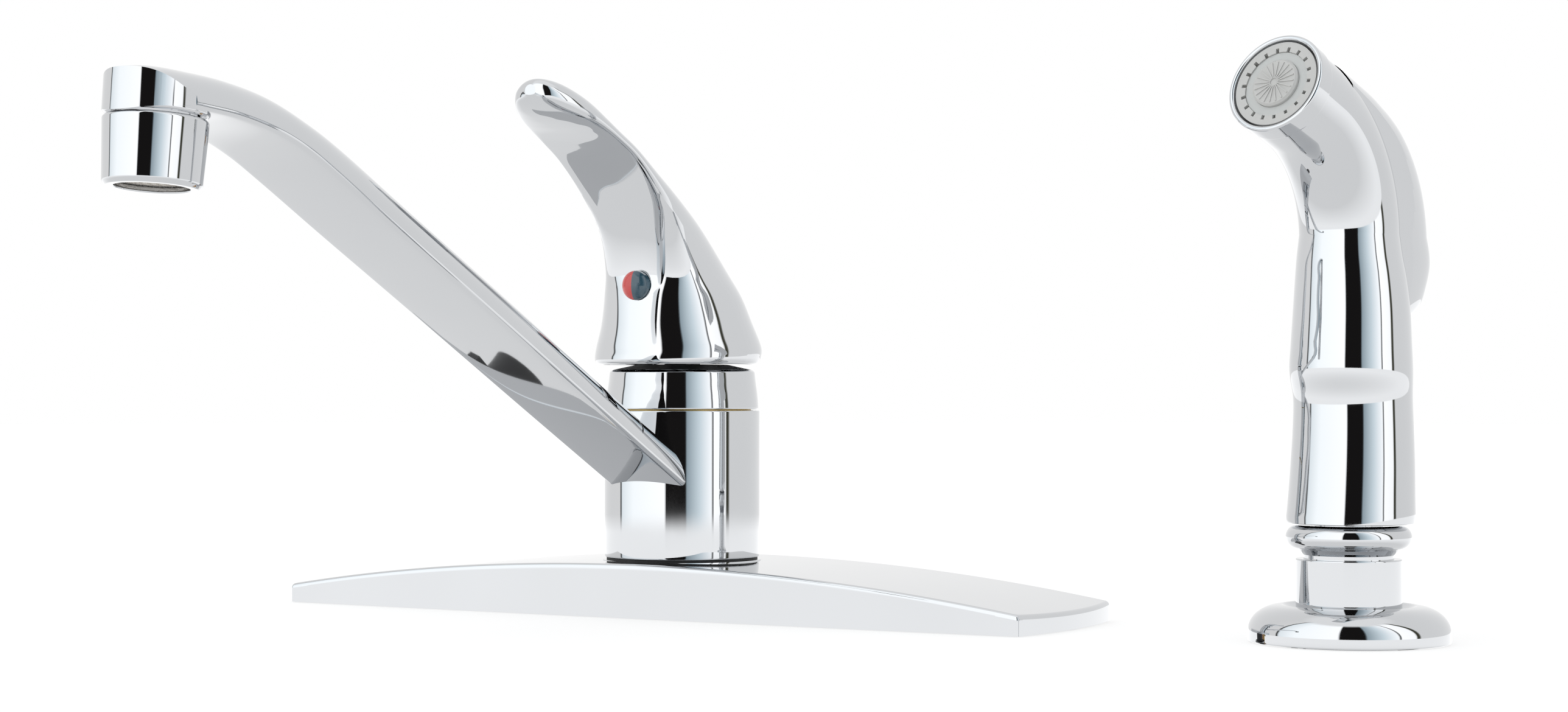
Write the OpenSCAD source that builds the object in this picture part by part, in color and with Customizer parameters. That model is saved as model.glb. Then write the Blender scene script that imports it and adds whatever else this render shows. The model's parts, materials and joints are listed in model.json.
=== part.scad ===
// Single-lever kitchen faucet on an arched deck plate, with a swivelling spout and a side spray.
// Millimetres. The origin is on the spout's axis at the sink deck: +X runs along the plate
// towards the side spray, -Y points the way the spout does, +Z is up.

/* [Deck plate] */
// Length of the plate, end to end
plate_l = 254; // [250:1:264]
// Width of the plate at its middle
plate_w = 63.5; // [61:0.5:70]
// Height of the arch at its middle
plate_h = 15.6; // [14:0.2:17]
// Height of the arch at its two ends
plate_end_h = 5.2; // [5:0.1:7]
// How far each long side bows out
side_bow = 1.6; // [1:0.1:3]
// How far each end bows out
end_bow = 2.8; // [1.5:0.1:5]
// Wall of the pressed plate
plate_wall = 1.8; // [1.2:0.1:2]
// Thickness of the gasket under the plate
gasket_t = 1.6; // [1:0.1:2]
// Thickness of the plastic base pan
pan_t = 2; // [1.6:0.1:2.2]

/* [Mounting to the sink] */
// Distance between the two mounting shanks
shank_pitch = 203.2; // [200:0.2:206]
// Outside diameter of a mounting shank
shank_d = 20.7; // [18:0.1:22]
// Bore of a mounting shank
shank_bore = 14; // [10:0.5:15]
// How far a shank reaches below the deck
shank_len = 50; // [40:1:70]
// Thickness of the sink deck that is clamped
sink_t = 10; // [4:1:15]
// Outside diameter of the supply tubes
tube_d = 9.52; // [8:0.02:10]
// How far the supply tubes reach below the deck
tube_len = 62; // [50:1:90]

/* [Valve body] */
// Outside diameter of the tower that the spout turns on
tower_d = 40.6; // [40:0.1:41]
// Diameter of the cartridge
cartridge_d = 34.8; // [33:0.1:35]
// Height of the cartridge seat above the deck
seat_z = 40; // [39:0.5:41]
// Height of the lever's pivot above the deck
pivot_z = 58; // [57.5:0.1:58.5]

/* [Spout] */
// Outside diameter of the sleeve
sleeve_d = 45.7; // [45.4:0.1:47]
// Bore of the sleeve
sleeve_bore = 41.8; // [41.7:0.1:42.2]
// Height of the sleeve's top above the deck
sleeve_top = 59.3; // [59:0.1:59.5]
// Distance from the sleeve's axis to the outlet's axis
reach = 221.8; // [200:1:240]
// Width of the arm
arm_w = 26; // [24:0.5:28]
// Thickness of the arm along its straight run
arm_t = 11.4; // [11:0.2:14]
// Rise of the arm, in degrees
arm_rise = 26.7; // [24:0.1:28]
// Height of the arm's underside where it leaves the sleeve's axis
arm_root_z = 28.3; // [26:0.1:30]
// Bore of the waterway in the arm
waterway_d = 6.5; // [5:0.5:7]
// Diameter of the outlet head
head_d = 24.2; // [22:0.1:26]
// Tilt of the outlet head, in degrees
head_tilt = 4.5; // [0:0.5:12]

/* [Aerator] */
// Length of the aerator's shell
aerator_l = 16.4; // [14.4:0.1:18]
// Diameter of the aerator's shell at its mouth
aerator_mouth_d = 22.3; // [21:0.1:22.4]

/* [Handle and cap] */
// Diameter of the cap ring at its foot
cap_d = 45; // [44.4:0.1:45.6]
// Height of the cap ring
cap_h = 11.5; // [11:0.1:12]
// Diameter of the handle's skirt
skirt_d = 48.6; // [47.6:0.1:50]
// Gap between the cap ring and the skirt
skirt_gap = 1.6; // [1.2:0.1:2]
// Slope of the skirt's rear edge, in degrees
skirt_slope = 12; // [10:0.5:14]
// Width of the lever's blade
blade_w = 27.7; // [24:0.2:30]
// Diameter of the index button
button_d = 8.5; // [7:0.1:9]

/* [Side spray] */
// Distance from the spout's axis to the spray's axis
spray_x = 203.2; // [200:0.2:230]
// Turn of the spray in its holder, in degrees
spray_turn = -13; // [-60:1:60]
// Diameter of the holder's flange
flange_d = 51.6; // [49:0.1:56]
// Diameter of the spray's body at its foot
spray_d = 32.8; // [32:0.1:34]
// Diameter of the spray's bezel
bezel_d = 26.6; // [26:0.1:28]
// Elevation of the spray's face, in degrees
face_rise = 21.5; // [20:0.5:26]
// Wire of the trigger's spring
spring_wire = 0.9; // [0.6:0.1:1.1]
// Turns of the trigger's spring
spring_turns = 6; // [4:1:8]

/* [Hidden] */
$fn = 96;

// Clearances: between faces that slide, between turned fits, and between loose parts
slide_gap = 0.3;
turn_gap = 0.05;
loose_gap = 0.4;
// A cut runs this far past the face that it opens
over = 1;
// Facets of a large, nearly flat arc
arc_fn = 720;

// Deck plate, from the arcs that bound it
rim_z = 0.2;
half_l = plate_l / 2;
half_w = plate_w / 2;
corner_x = half_l - end_bow;
corner_y = half_w - side_bow;
arch_rise = plate_h - plate_end_h;
arch_r = (half_l * half_l + arch_rise * arch_rise) / (2 * arch_rise);
side_r = (corner_x * corner_x + side_bow * side_bow) / (2 * side_bow);
end_r = (corner_y * corner_y + end_bow * end_bow) / (2 * end_bow);
corner_cut_r = sqrt(corner_x * corner_x + corner_y * corner_y) - 0.7;
inner_inset = plate_wall + loose_gap;
pan_z = gasket_t;
pan_top = pan_z + pan_t;

// Shanks
shank_r = shank_d / 2;
shank_flange_r = 13;
shank_pocket = 0.8;
shank_flange_z = pan_top - shank_pocket;
shank_flange_t = 1.7;
washer_t = 1.5;
washer_r = 17;
nut_h = 10;
nut_r = 14.5;
nut_wing_l = 20;
nut_wing_t = 5;
relief_gap = 1.5;
relief_w = 2;
relief_z = -sink_t - washer_t - nut_h - relief_gap;

// Valve body
tower_r = tower_d / 2;
body_flange_r = 25;
body_flange_t = 4;
tower_top = 69;
thread_r = tower_r - 0.9;
cup_r = cartridge_d / 2 + 0.2;
cold_x = 9.5;
tube_y = 4;
tube_r = tube_d / 2;
tube_wall = 1;
tube_top = 14;
tube_bead = 0.7;
tube_bead_z = -36;
tube_relief = 0.3;
channel_r = 3;
spray_port_y = -9;
spray_tube_r = 5.2;
spray_thread_r = 6.6;
spray_tube_len = 55;
spray_thread_l = 14;
chamber_r = 5.2;
chamber_z = 15;
chamber_top = 37;
port_z = 32;
port_r = 3.4;
ring_t = 0.7;
ring_r = sleeve_d / 2 - 0.6;
land_r = sleeve_d / 2 + 0.5;
sleeve_z = plate_h + ring_t;
bore_r = sleeve_bore / 2;
o_ring_r = 1.15;
o_ring_zs = [21, 52.5];
o_ring_line_r = bore_r - turn_gap - o_ring_r;
glide_z = 56;
glide_h = 2.4;
glide_depth = 0.9;

// Cartridge, upwards from its seat
case_wall = 1.4;
cart_r = cartridge_d / 2;
case_in_r = cart_r - case_wall;
seal_wire_r = 0.9;
seal_r = 4.6;
base_t = 2;
disc_r = case_in_r - 0.4;
fixed_disc_z = seat_z + base_t;
fixed_disc_t = 3;
moving_disc_z = fixed_disc_z + fixed_disc_t;
moving_disc_t = 3;
moving_disc_r = 11.6;
carrier_z = moving_disc_z + moving_disc_t;
carrier_t = 4;
ball_r = 2.2;
ball_z = pivot_z - 7.1;
rotor_z = carrier_z + carrier_t + slide_gap;
rotor_r = case_in_r - turn_gap;
rotor_top = 61.4;
slot_w = 9;
slot_y = 11;
pin_r = 1.5;
case_top = 64;
case_web = 2.2;
stem_w = 7.6;
stem_top = 99;
nut_z = case_top;
cart_nut_t = 4.6;

// Cap ring
cap_z = sleeve_top + loose_gap;
cap_top = cap_z + cap_h;
cap_foot_r = cap_d / 2;
cap_head_r = cap_foot_r - 1.1;
cap_web = 2;
cap_dome = 1.6;
cap_hole_r = 12.5;

// Handle
skirt_z = cap_top + skirt_gap;
skirt_r = skirt_d / 2;
skirt_y = 2.7;
blade_r = blade_w / 2;
boss_r = 8;
boss_z = 80.5;
socket_gap = 0.15;
button_r = button_d / 2;
button_z = 95.4;
button_face_y = 24.9;
button_depth = 2.6;
screw_r = 2.9;
screw_l = 9;

// Spout: the arm's underside as points (distance forward, height, slope, thickness, half width)
arm_slope = tan(arm_rise);
function arm_under(s) = arm_root_z + arm_slope * s;
head_z = 126.6;
head_r = head_d / 2;
head_wall_h = 4.2;
head_cut_h = 16;
bend_s = reach - 49.8;
bend_drop = arm_under(bend_s) - (head_z - 11.4);
arm_half = arm_w / 2;
arm_keys = [
    [9, arm_under(9), arm_rise, arm_t, arm_half],
    [60, arm_under(60), arm_rise, arm_t - 0.1, arm_half],
    [110, arm_under(110) + 0.2, arm_rise, arm_t - 0.2, arm_half],
    [reach - 72.6, arm_under(reach - 72.6) - bend_drop / 2, arm_rise, arm_t - 0.4, arm_half],
    [bend_s, arm_under(bend_s) - bend_drop, arm_rise, arm_t - 0.7, arm_half],
    [reach - 37.6, head_z - 5.6, 23.5, arm_t - 1.4, arm_half - 0.1],
    [reach - 26.6, head_z - 1.9, 15, arm_t - 1.5, arm_half - 0.4],
    [reach - 14.6, head_z + 0.3, 6, arm_t - 1.8, head_r + 0.5],
    [reach - 3.6, head_z + 1.2, 1, arm_t - 2, head_r + 0.3],
    [reach + 4.4, head_z + 1.6, -1, arm_t - 2.2, head_r + 0.3],
    [reach + 9.4, head_z + 1.6, -4, arm_t - 2.6, head_r + 0.3],
    [reach + 11.9, head_z + 1.3, -8, arm_t - 3.2, head_r + 0.3],
    [reach + 13.9, head_z + 0.6, -12, arm_t - 5, head_r + 0.3]
];
arm_steps = 36;
arm_sides = 36;
arm_edge = 0.7;

// Handle: each row is a section (forward, height, tilt, half width, front depth, back depth, front power)
// measured from the section's widest line
handle_keys = [
    [skirt_y, skirt_z, 0, skirt_r - 1.2, skirt_r - 1.2, skirt_r - 1.2, 2],
    [skirt_y, skirt_z + 0.6, 0, skirt_r - 0.3, skirt_r - 0.3, skirt_r - 0.3, 2],
    [2.4, 75, 0, skirt_r + 0.2, skirt_r + 0.1, skirt_r + 0.1, 2],
    [1.9, 78.2, 0, skirt_r, skirt_r - 0.1, skirt_r, 2],
    [2.9, 85, 0, skirt_r - 2.2, skirt_r - 1.9, skirt_r - 2, 2],
    [4.8, 93, 0, skirt_r - 4.6, 19.8, 20.1, 2.2],
    [10, 100.1, 5, 16.8, 14, 20, 2.6],
    [17.3, 109.3, 12, 14.7, 8.5, 16.7, 3],
    [25.4, 116.5, 25, blade_r + 0.3, 4, 12.2, 2.8],
    [34, 123.1, 40, blade_r + 0.1, 2, 8.6, 2.4],
    [44.4, 130.4, 52, blade_r, 1.2, 6.2, 2],
    [52.6, 134.6, 57, blade_r - 0.4, 1, 5.9, 2],
    [58.3, 137.4, 61, blade_r - 0.9, 1.5, 6.3, 2],
    [63.4, 139.8, 66, blade_r - 1.6, 2.3, 6.9, 2],
    [67.9, 142, 71, blade_r - 2.9, 3, 6.7, 2],
    [72.3, 144, 76, blade_r - 5, 3.2, 6, 2],
    [75.8, 145.3, 82, blade_r - 8, 2.2, 4.6, 2],
    [77.4, 146, 86, 1.8, 0.6, 2.2, 2]
];
handle_steps = 51;
handle_sides = 44;

// Side spray
holder_pad = 1.2;
flange_edge = 2.8;
flange_r = flange_d / 2;
flange_wall = 2.2;
lip_r = 17;
lip_z = 9.7;
dish_z = 8;
holder_bore_r = 12.2;
holder_shank_r = 14;
holder_shank_len = 40;
holder_nut_r = 20;
holder_nut_h = 8;
holder_relief_z = -sink_t - holder_nut_h - relief_gap;
collar_r = 13.5;
collar_z = dish_z;
collar_top = 21.6;
groove_r = 11.5;
bead_r = 16;
bead_z = 27.2;
bead_h = 6.2;
tail_r = 11.8;
tail_z = -8;
hose_bore_r = 4;
neck_r = 8.6;
foot_z = bead_z + bead_h / 2 + loose_gap;
neck_top = foot_z + 8;
clip_z = foot_z + 5;
clip_t = 1.2;
clip_r = 10;
spray_r = spray_d / 2;
bend_z = 105.2;
bend_r = 34;
turn_end = 90 - face_rise;
neck_end_d = bend_r - bend_r * cos(turn_end);
neck_end_z = bend_z + bend_r * sin(turn_end);
barrel_l = 12.8;
face_d = neck_end_d + barrel_l * sin(turn_end);
face_z = neck_end_z + barrel_l * cos(turn_end);
bezel_r = bezel_d / 2;
bezel_t = 5;
barrel_r = bezel_r - 0.4;
face_r = bezel_r - 1.85;
face_seat = 3.4;
notch_ring_r = 8.8;
notches = 18;
disc_ribs = 20;
centre_r = 6.4;

// Spray body: rows of height, centre forward, radius
body_keys = [
    [foot_z, -0.9, spray_r + 0.1],
    [38.5, -1.5, spray_r - 0.3],
    [46, -2, spray_r - 0.6],
    [55, -2.3, spray_r - 1],
    [63, -2.2, spray_r - 1.2],
    [70, -1.4, spray_r - 0.7],
    [77, -1.5, spray_r - 1],
    [86, -1.7, spray_r - 1.5],
    [94, -1.4, spray_r - 2.2],
    [99.5, -0.9, spray_r - 2.9],
    [bend_z, -0.8, spray_r - 3.6]
];
body_steps = 26;
bend_steps = 10;
barrel_steps = 4;
spray_sides = 40;

// Trigger: back depth of its section along the same path as the body
trigger_half = 10.8;
foot_r = 61;
trigger_low = 84;
trigger_keys = [
    [trigger_low, 18],
    [85.5, 22.6],
    [88, 26.8],
    [92, 29.6],
    [97, 31.9],
    [101, 31.9],
    [bend_z, 30.4]
];
trigger_bend_keys = [30.4, 28.8, 25.2, 19.9, 15.1, barrel_r + 0.3];
trigger_steps = 14;
trigger_sides = 32;
pin_d = 10;
pin_z = 139;
pin_half = 10.2;
lug_half = 5.4;
pocket_half = trigger_half + loose_gap;
pocket_back = -1.5;
valve_z = 104;
valve_r = 2.4;
valve_cap_r = 5;
valve_cap_t = 1.6;
valve_in = 5;
trigger_wall_d = -20.6;
valve_out = trigger_wall_d + slide_gap;
spring_r = 3.9;

// A value of a list of keys at place u, on a smooth curve through them all
function curve(a, b, c, d, t) =
    0.5 * (2 * b + (c - a) * t + (2 * a - 5 * b + 4 * c - d) * t * t
    + (3 * b - a - 3 * c + d) * t * t * t);
function along(keys, u) =
    let (last = len(keys) - 1, i = min(floor(u), last - 1))
    curve(keys[max(i - 1, 0)], keys[i], keys[i + 1], keys[min(i + 2, last)], u - i);
function signed(v, p) = (v < 0 ? -1 : 1) * pow(abs(v), p);

// A ring of points round a section: it is widest through (forward, height), leans by tilt,
// and has its own depth and power towards the front and the back
function section(forward, height, tilt, half, front, back, front_power, back_power, sides) =
    [for (i = [0 : sides - 1])
        let (
            a = 360 * i / sides,
            rear = sin(a) >= 0,
            depth = rear ? back : front,
            power = rear ? back_power : front_power,
            x = half * signed(cos(a), 2 / power),
            w = -depth * signed(sin(a), 2 / power)
        )
        [x, -forward - w * cos(tilt), height - w * sin(tilt)]];

// A closed solid through rings that have the same number of points
module skin(rings) {
    n = len(rings[0]);
    m = len(rings);
    polyhedron(
        points = [for (r = rings) each r],
        faces = concat(
            [[for (i = [0 : n - 1]) i]],
            [[for (i = [n - 1 : -1 : 0]) (m - 1) * n + i]],
            [for (j = [0 : m - 2], i = [0 : n - 1])
                let (a = j * n + i, b = j * n + (i + 1) % n)
                each [[a, a + n, b], [b, a + n, b + n]]]
        ));
}

module tube(outer, inner, h) {
    difference() {
        cylinder(r = outer, h = h);
        translate([0, 0, -over]) cylinder(r = inner, h = h + 2 * over);
    }
}

module ring(line_r, wire_r) {
    rotate_extrude() translate([line_r, 0]) circle(r = wire_r, $fn = 24);
}

module both_sides(x) {
    for (side = [-1, 1]) translate([side * x, 0, 0]) children();
}

// A cylinder whose wall passes the axis at the given distance on the given side
module hold_arc(side, r, distance, tall) {
    translate([side[0] * (distance - r), side[1] * (distance - r), 0])
        cylinder(r = r, h = tall, $fn = arc_fn);
}

// The plate's outline as four large arcs and its trimmed corners, drawn in by inset, from z0 up
// to the arch less drop
module plate_solid(inset, drop, z0) {
    tall = 3 * plate_h;
    intersection() {
        translate([0, half_w + over, plate_h - drop - arch_r])
            rotate([90, 0, 0])
            cylinder(r = arch_r, h = 2 * half_w + 2 * over, $fn = arc_fn);
        translate([0, 0, z0]) hold_arc([0, 1], side_r, half_w - inset, tall);
        translate([0, 0, z0]) hold_arc([0, -1], side_r, half_w - inset, tall);
        translate([0, 0, z0]) hold_arc([1, 0], end_r, half_l - inset, tall);
        translate([0, 0, z0]) hold_arc([-1, 0], end_r, half_l - inset, tall);
        translate([0, 0, z0]) cylinder(r = corner_cut_r - inset, h = tall, $fn = arc_fn);
    }
}

module deck_plate() {
    color("gainsboro")
    difference() {
        union() {
            plate_solid(0, 0, rim_z);
            translate([0, 0, plate_h / 2]) cylinder(r = land_r, h = plate_h / 2);
        }
        difference() {
            plate_solid(plate_wall, plate_wall, rim_z - over);
            translate([0, 0, plate_h - plate_wall]) cylinder(r = land_r, h = plate_h);
        }
        cylinder(r = tower_r + loose_gap, h = plate_h + over);
    }
}

module pan_slab(z, t) {
    intersection() {
        plate_solid(inner_inset, plate_wall + slide_gap / 2, z);
        translate([-plate_l, -plate_w, z]) cube([2 * plate_l, 2 * plate_w, t]);
    }
}

// Holes for the tubes under the valve body
module tube_holes() {
    for (side = [-1, 1]) translate([side * cold_x, tube_y, -over])
        cylinder(r = tube_r + tube_bead + loose_gap, h = plate_h);
    translate([0, spray_port_y, -over]) cylinder(r = spray_thread_r + loose_gap, h = plate_h);
}

module base_pan() {
    color("dimgray")
    difference() {
        pan_slab(pan_z, pan_t);
        tube_holes();
        both_sides(shank_pitch / 2) {
            cylinder(r = shank_r + 0.15, h = plate_h);
            translate([0, 0, shank_flange_z]) cylinder(r = shank_flange_r + 0.2, h = plate_h);
        }
    }
}

module deck_gasket() {
    color("black")
    difference() {
        pan_slab(0, gasket_t);
        tube_holes();
        translate([0, 0, -over]) both_sides(shank_pitch / 2) cylinder(r = shank_r + loose_gap, h = plate_h);
    }
}

module mounting_shanks() {
    color("dimgray")
    both_sides(shank_pitch / 2) difference() {
        union() {
            translate([0, 0, -shank_len]) cylinder(r = shank_r, h = shank_len + pan_top);
            translate([0, 0, shank_flange_z]) cylinder(r = shank_flange_r, h = shank_flange_t);
        }
        translate([0, 0, -shank_len - over])
            cylinder(d = shank_bore, h = shank_len + plate_h);
        translate([0, 0, relief_z - relief_w]) difference() {
            cylinder(r = shank_r + over, h = relief_w);
            cylinder(r = shank_r - 0.9, h = relief_w);
        }
    }
}

module mounting_washers() {
    color("silver")
    both_sides(shank_pitch / 2)
        translate([0, 0, -sink_t - washer_t]) tube(washer_r, shank_r + 0.5, washer_t);
}

module mounting_nuts() {
    color("dimgray")
    both_sides(shank_pitch / 2) translate([0, 0, -sink_t - washer_t - nut_h]) difference() {
        union() {
            cylinder(r = nut_r, h = nut_h);
            for (a = [0 : 90 : 270]) rotate([0, 0, a])
                translate([0, -nut_wing_t / 2, 0]) cube([nut_wing_l, nut_wing_t, nut_h * 0.8]);
        }
        translate([0, 0, -over]) cylinder(r = shank_r + turn_gap, h = nut_h + 2 * over);
    }
}

module valve_body() {
    color("darkgoldenrod")
    difference() {
        union() {
            translate([0, 0, pan_top]) cylinder(r = body_flange_r, h = body_flange_t);
            translate([0, 0, pan_top]) cylinder(r = tower_r, h = cap_z - pan_top);
            cylinder(r = thread_r, h = tower_top);
        }
        translate([0, 0, -over]) cylinder(r = tower_r + over, h = pan_top + over);
        translate([0, 0, seat_z]) cylinder(r = cup_r, h = tower_top);
        for (side = [-1, 1]) translate([side * cold_x, tube_y, 0]) {
            cylinder(r = channel_r, h = tower_top);
            cylinder(r = tube_r + turn_gap, h = tube_top + turn_gap);
        }
        translate([0, spray_port_y, 0]) {
            cylinder(r = spray_tube_r + turn_gap, h = chamber_z - 4);
            cylinder(r = channel_r, h = tower_top);
            translate([0, 0, chamber_z]) cylinder(r = chamber_r, h = chamber_top - chamber_z);
        }
        translate([0, spray_port_y, port_z]) rotate([90, 0, 0]) cylinder(r = port_r, h = tower_r);
        for (z = o_ring_zs) translate([0, 0, z]) groove(o_ring_line_r - o_ring_r, o_ring_r + 0.2);
        translate([0, 0, glide_z + glide_h / 2]) groove(tower_r - glide_depth, glide_h / 2 + 0.1);
    }
}

// A turned groove of square section round the tower
module groove(floor_r, half_h) {
    translate([0, 0, -half_h]) difference() {
        cylinder(r = tower_r + over, h = 2 * half_h);
        translate([0, 0, -over]) cylinder(r = floor_r, h = 2 * half_h + 2 * over);
    }
}

module supply_tubes() {
    color("peru")
    for (side = [-1, 1]) translate([side * cold_x, tube_y, 0]) difference() {
        union() {
            translate([0, 0, -tube_len]) cylinder(r = tube_r, h = tube_len + tube_top);
            translate([0, 0, tube_bead_z]) cylinder(r = tube_r + tube_bead, h = 1.5);
        }
        translate([0, 0, -tube_len - over])
            cylinder(r = tube_r - tube_wall, h = tube_len + tube_top + 2 * over);
        translate([0, 0, tube_bead_z - 1]) tube(tube_r + tube_bead, tube_r - tube_relief, 1);
    }
}

module spray_outlet() {
    color("darkgoldenrod")
    translate([0, spray_port_y, 0]) difference() {
        union() {
            translate([0, 0, -spray_tube_len])
                cylinder(r = spray_tube_r, h = spray_tube_len + chamber_z - 4);
            translate([0, 0, -spray_tube_len]) cylinder(r = spray_thread_r, h = spray_thread_l);
        }
        translate([0, 0, -spray_tube_len - over])
            cylinder(r = channel_r, h = spray_tube_len + chamber_z + over);
    }
}

// The three water ports: hot, cold and mixed
module at_ports() {
    for (p = [[-cold_x, tube_y], [cold_x, tube_y], [0, spray_port_y]]) translate([p[0], p[1], 0])
        children();
}

module cartridge_seals() {
    color("black")
    at_ports() translate([0, 0, seat_z + seal_wire_r]) ring(seal_r - seal_wire_r, seal_wire_r);
}

module cartridge_base() {
    color("white")
    translate([0, 0, seat_z]) difference() {
        cylinder(r = cart_r, h = base_t);
        at_ports() translate([0, 0, -over]) {
            cylinder(r = channel_r, h = base_t + 2 * over);
            cylinder(r = seal_r + turn_gap, h = over + 2 * seal_wire_r);
        }
    }
}

module fixed_disc() {
    color("ivory")
    translate([0, 0, fixed_disc_z]) difference() {
        cylinder(r = disc_r, h = fixed_disc_t);
        at_ports() translate([0, 0, -over]) cylinder(r = channel_r, h = fixed_disc_t + 2 * over);
    }
}

module moving_disc() {
    color("ivory")
    translate([0, 0, moving_disc_z]) difference() {
        cylinder(r = moving_disc_r, h = moving_disc_t);
        translate([0, -1, -over]) cylinder(r = 6, h = over + 1.6);
    }
}

module disc_carrier() {
    color("lightsteelblue")
    translate([0, 0, carrier_z]) difference() {
        cylinder(r = moving_disc_r, h = carrier_t);
        translate([0, 0, 0.6]) cylinder(r = ball_r + 0.35, h = carrier_t);
    }
}

module cartridge_housing() {
    color("white")
    difference() {
        translate([0, 0, fixed_disc_z]) cylinder(r = cart_r, h = case_top - fixed_disc_z);
        translate([0, 0, fixed_disc_z - over])
            cylinder(r = case_in_r, h = case_top - case_web - fixed_disc_z + over);
        cylinder(r = 9.5, h = case_top + over);
    }
}

module stem_carrier() {
    color("lightsteelblue")
    difference() {
        translate([0, 0, rotor_z]) cylinder(r = rotor_r, h = rotor_top - rotor_z);
        translate([-slot_w / 2, -slot_y, rotor_z - over]) cube([slot_w, 2 * slot_y, rotor_top]);
        translate([0, 0, pivot_z]) rotate([0, 90, 0])
            cylinder(r = pin_r, h = 2 * rotor_r + 2 * over, center = true);
    }
}

module stem_pin() {
    color("silver")
    translate([0, 0, pivot_z]) rotate([0, 90, 0]) cylinder(r = pin_r, h = 2 * rotor_r - 2, center = true);
}

module lever_stem() {
    color("silver")
    difference() {
        union() {
            translate([-stem_w / 2, -stem_w / 2, pivot_z - 4.2])
                cube([stem_w, stem_w, stem_top - pivot_z + 4.2]);
            translate([0, 0, ball_z]) cylinder(r = 1.6, h = pivot_z - 4 - ball_z);
            translate([0, 0, ball_z]) sphere(r = ball_r);
        }
        translate([0, 0, pivot_z]) rotate([0, 90, 0])
            cylinder(r = pin_r + turn_gap, h = 2 * stem_w, center = true);
    }
}

module cartridge_nut() {
    color("goldenrod")
    translate([0, 0, nut_z]) tube(cup_r - turn_gap, 11.5, cart_nut_t);
}

module cap_ring() {
    color("gainsboro")
    difference() {
        rotate_extrude() polygon([
            [cap_hole_r, cap_z],
            [cap_foot_r, cap_z],
            [cap_foot_r - 0.1, cap_z + 2.4],
            [cap_foot_r - 0.35, cap_z + 5],
            [cap_foot_r - 0.75, cap_z + 7.7],
            [cap_head_r, cap_top - 0.6],
            [cap_head_r - 0.6, cap_top],
            [cap_hole_r + 1, cap_top + cap_dome],
            [cap_hole_r, cap_top + cap_dome]
        ]);
        translate([0, 0, cap_z - over])
            cylinder(r = thread_r + turn_gap, h = cap_top - cap_web - cap_z + over);
    }
}

module base_ring() {
    color("black")
    translate([0, 0, plate_h]) tube(ring_r, tower_r + slide_gap, ring_t);
}

module upper_glide_ring() {
    color("white")
    translate([0, 0, glide_z]) tube(bore_r - turn_gap, tower_r - glide_depth, glide_h);
}

module spout_o_rings() {
    color("black")
    for (z = o_ring_zs) translate([0, 0, z]) ring(o_ring_line_r, o_ring_r);
}

// Everything on the outlet's tilted axis: z is 0 at the joint between head and aerator
module at_head() {
    translate([0, -reach, head_z]) rotate([-head_tilt, 0, 0]) children();
}

function arm_ring(u) =
    let (k = along(arm_keys, u), tilt = 90 - k[2])
    section(k[0], k[1], tilt, k[4], arm_edge, k[3], 2, 2.3, arm_sides);

// The waterway through the arm, as points (distance forward, height)
function arm_middle(s) = arm_under(s) + arm_t / 2 + 0.6;
water_points = [
    [18, arm_middle(18)],
    [reach - 38.4, arm_middle(reach - 38.4)],
    [reach - 22, head_z + 4.3],
    [reach, head_z + 5.3]
];

module water_run(from, to) {
    translate([0, -from[0], from[1]]) {
        rotate([90 - atan2(to[1] - from[1], to[0] - from[0]), 0, 0])
            cylinder(d = waterway_d, h = norm(to - from));
        sphere(d = waterway_d + 0.3);
    }
}

nipple_r = head_r - 2.25;
nipple_l = 6;
outlet_r = 6.2;

module spout() {
    color("gainsboro")
    difference() {
        union() {
            translate([0, 0, sleeve_z]) cylinder(d = sleeve_d, h = sleeve_top - sleeve_z);
            difference() {
                skin([for (i = [0 : arm_steps]) arm_ring(i * (len(arm_keys) - 1) / arm_steps)]);
                difference() {
                    translate([-arm_w, -reach - arm_w, head_z - arm_w]) cube([2 * arm_w, arm_w, 2 * arm_w]);
                    at_head() translate([0, 0, -head_cut_h]) cylinder(r = head_r, h = 3 * head_cut_h);
                }
            }
            at_head() cylinder(r = head_r - 0.03, h = head_wall_h);
            at_head() translate([0, 0, -nipple_l]) cylinder(r = nipple_r, h = nipple_l + over);
        }
        translate([0, 0, sleeve_z - over]) cylinder(r = bore_r, h = sleeve_top);
        for (i = [0 : 2]) water_run(water_points[i], water_points[i + 1]);
        at_head() translate([0, 0, -nipple_l - over]) cylinder(r = outlet_r, h = nipple_l + over + 5);
    }
}

// Aerator, downwards from the joint
washer_gap = 0.1;
aer_washer_t = 1.5;
insert_top = -nipple_l - washer_gap - aer_washer_t - washer_gap;
screen_z = -aerator_l + 1.7;
insert_l = insert_top - screen_z - 0.6;
insert_r = 9.1;
mouth_r = 8.5;

module aerator_washer() {
    color("black")
    at_head() translate([0, 0, -nipple_l - washer_gap - aer_washer_t])
        tube(nipple_r - 0.1, outlet_r, aer_washer_t);
}

// Places of a round pattern of holes: rings of 6, 12 and 18 round the middle one
module hole_places(pitch, rings) {
    children();
    for (k = [1 : rings], i = [0 : 6 * k - 1])
        rotate([0, 0, 60 * i / k]) translate([k * pitch, 0, 0]) children();
}

module aerator_insert() {
    color("white")
    at_head() translate([0, 0, insert_top - insert_l]) difference() {
        cylinder(r = insert_r, h = insert_l);
        translate([0, 0, -over]) hole_places(2.3, 3) cylinder(r = 0.8, h = insert_l + 2 * over, $fn = 16);
    }
}

module aerator_screen() {
    color("tan")
    at_head() translate([0, 0, screen_z]) difference() {
        cylinder(r = insert_r, h = 0.5);
        translate([0, 0, -over]) hole_places(1.9, 4) cylinder(r = 0.55, h = 0.5 + 2 * over, $fn = 16);
    }
}

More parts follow.
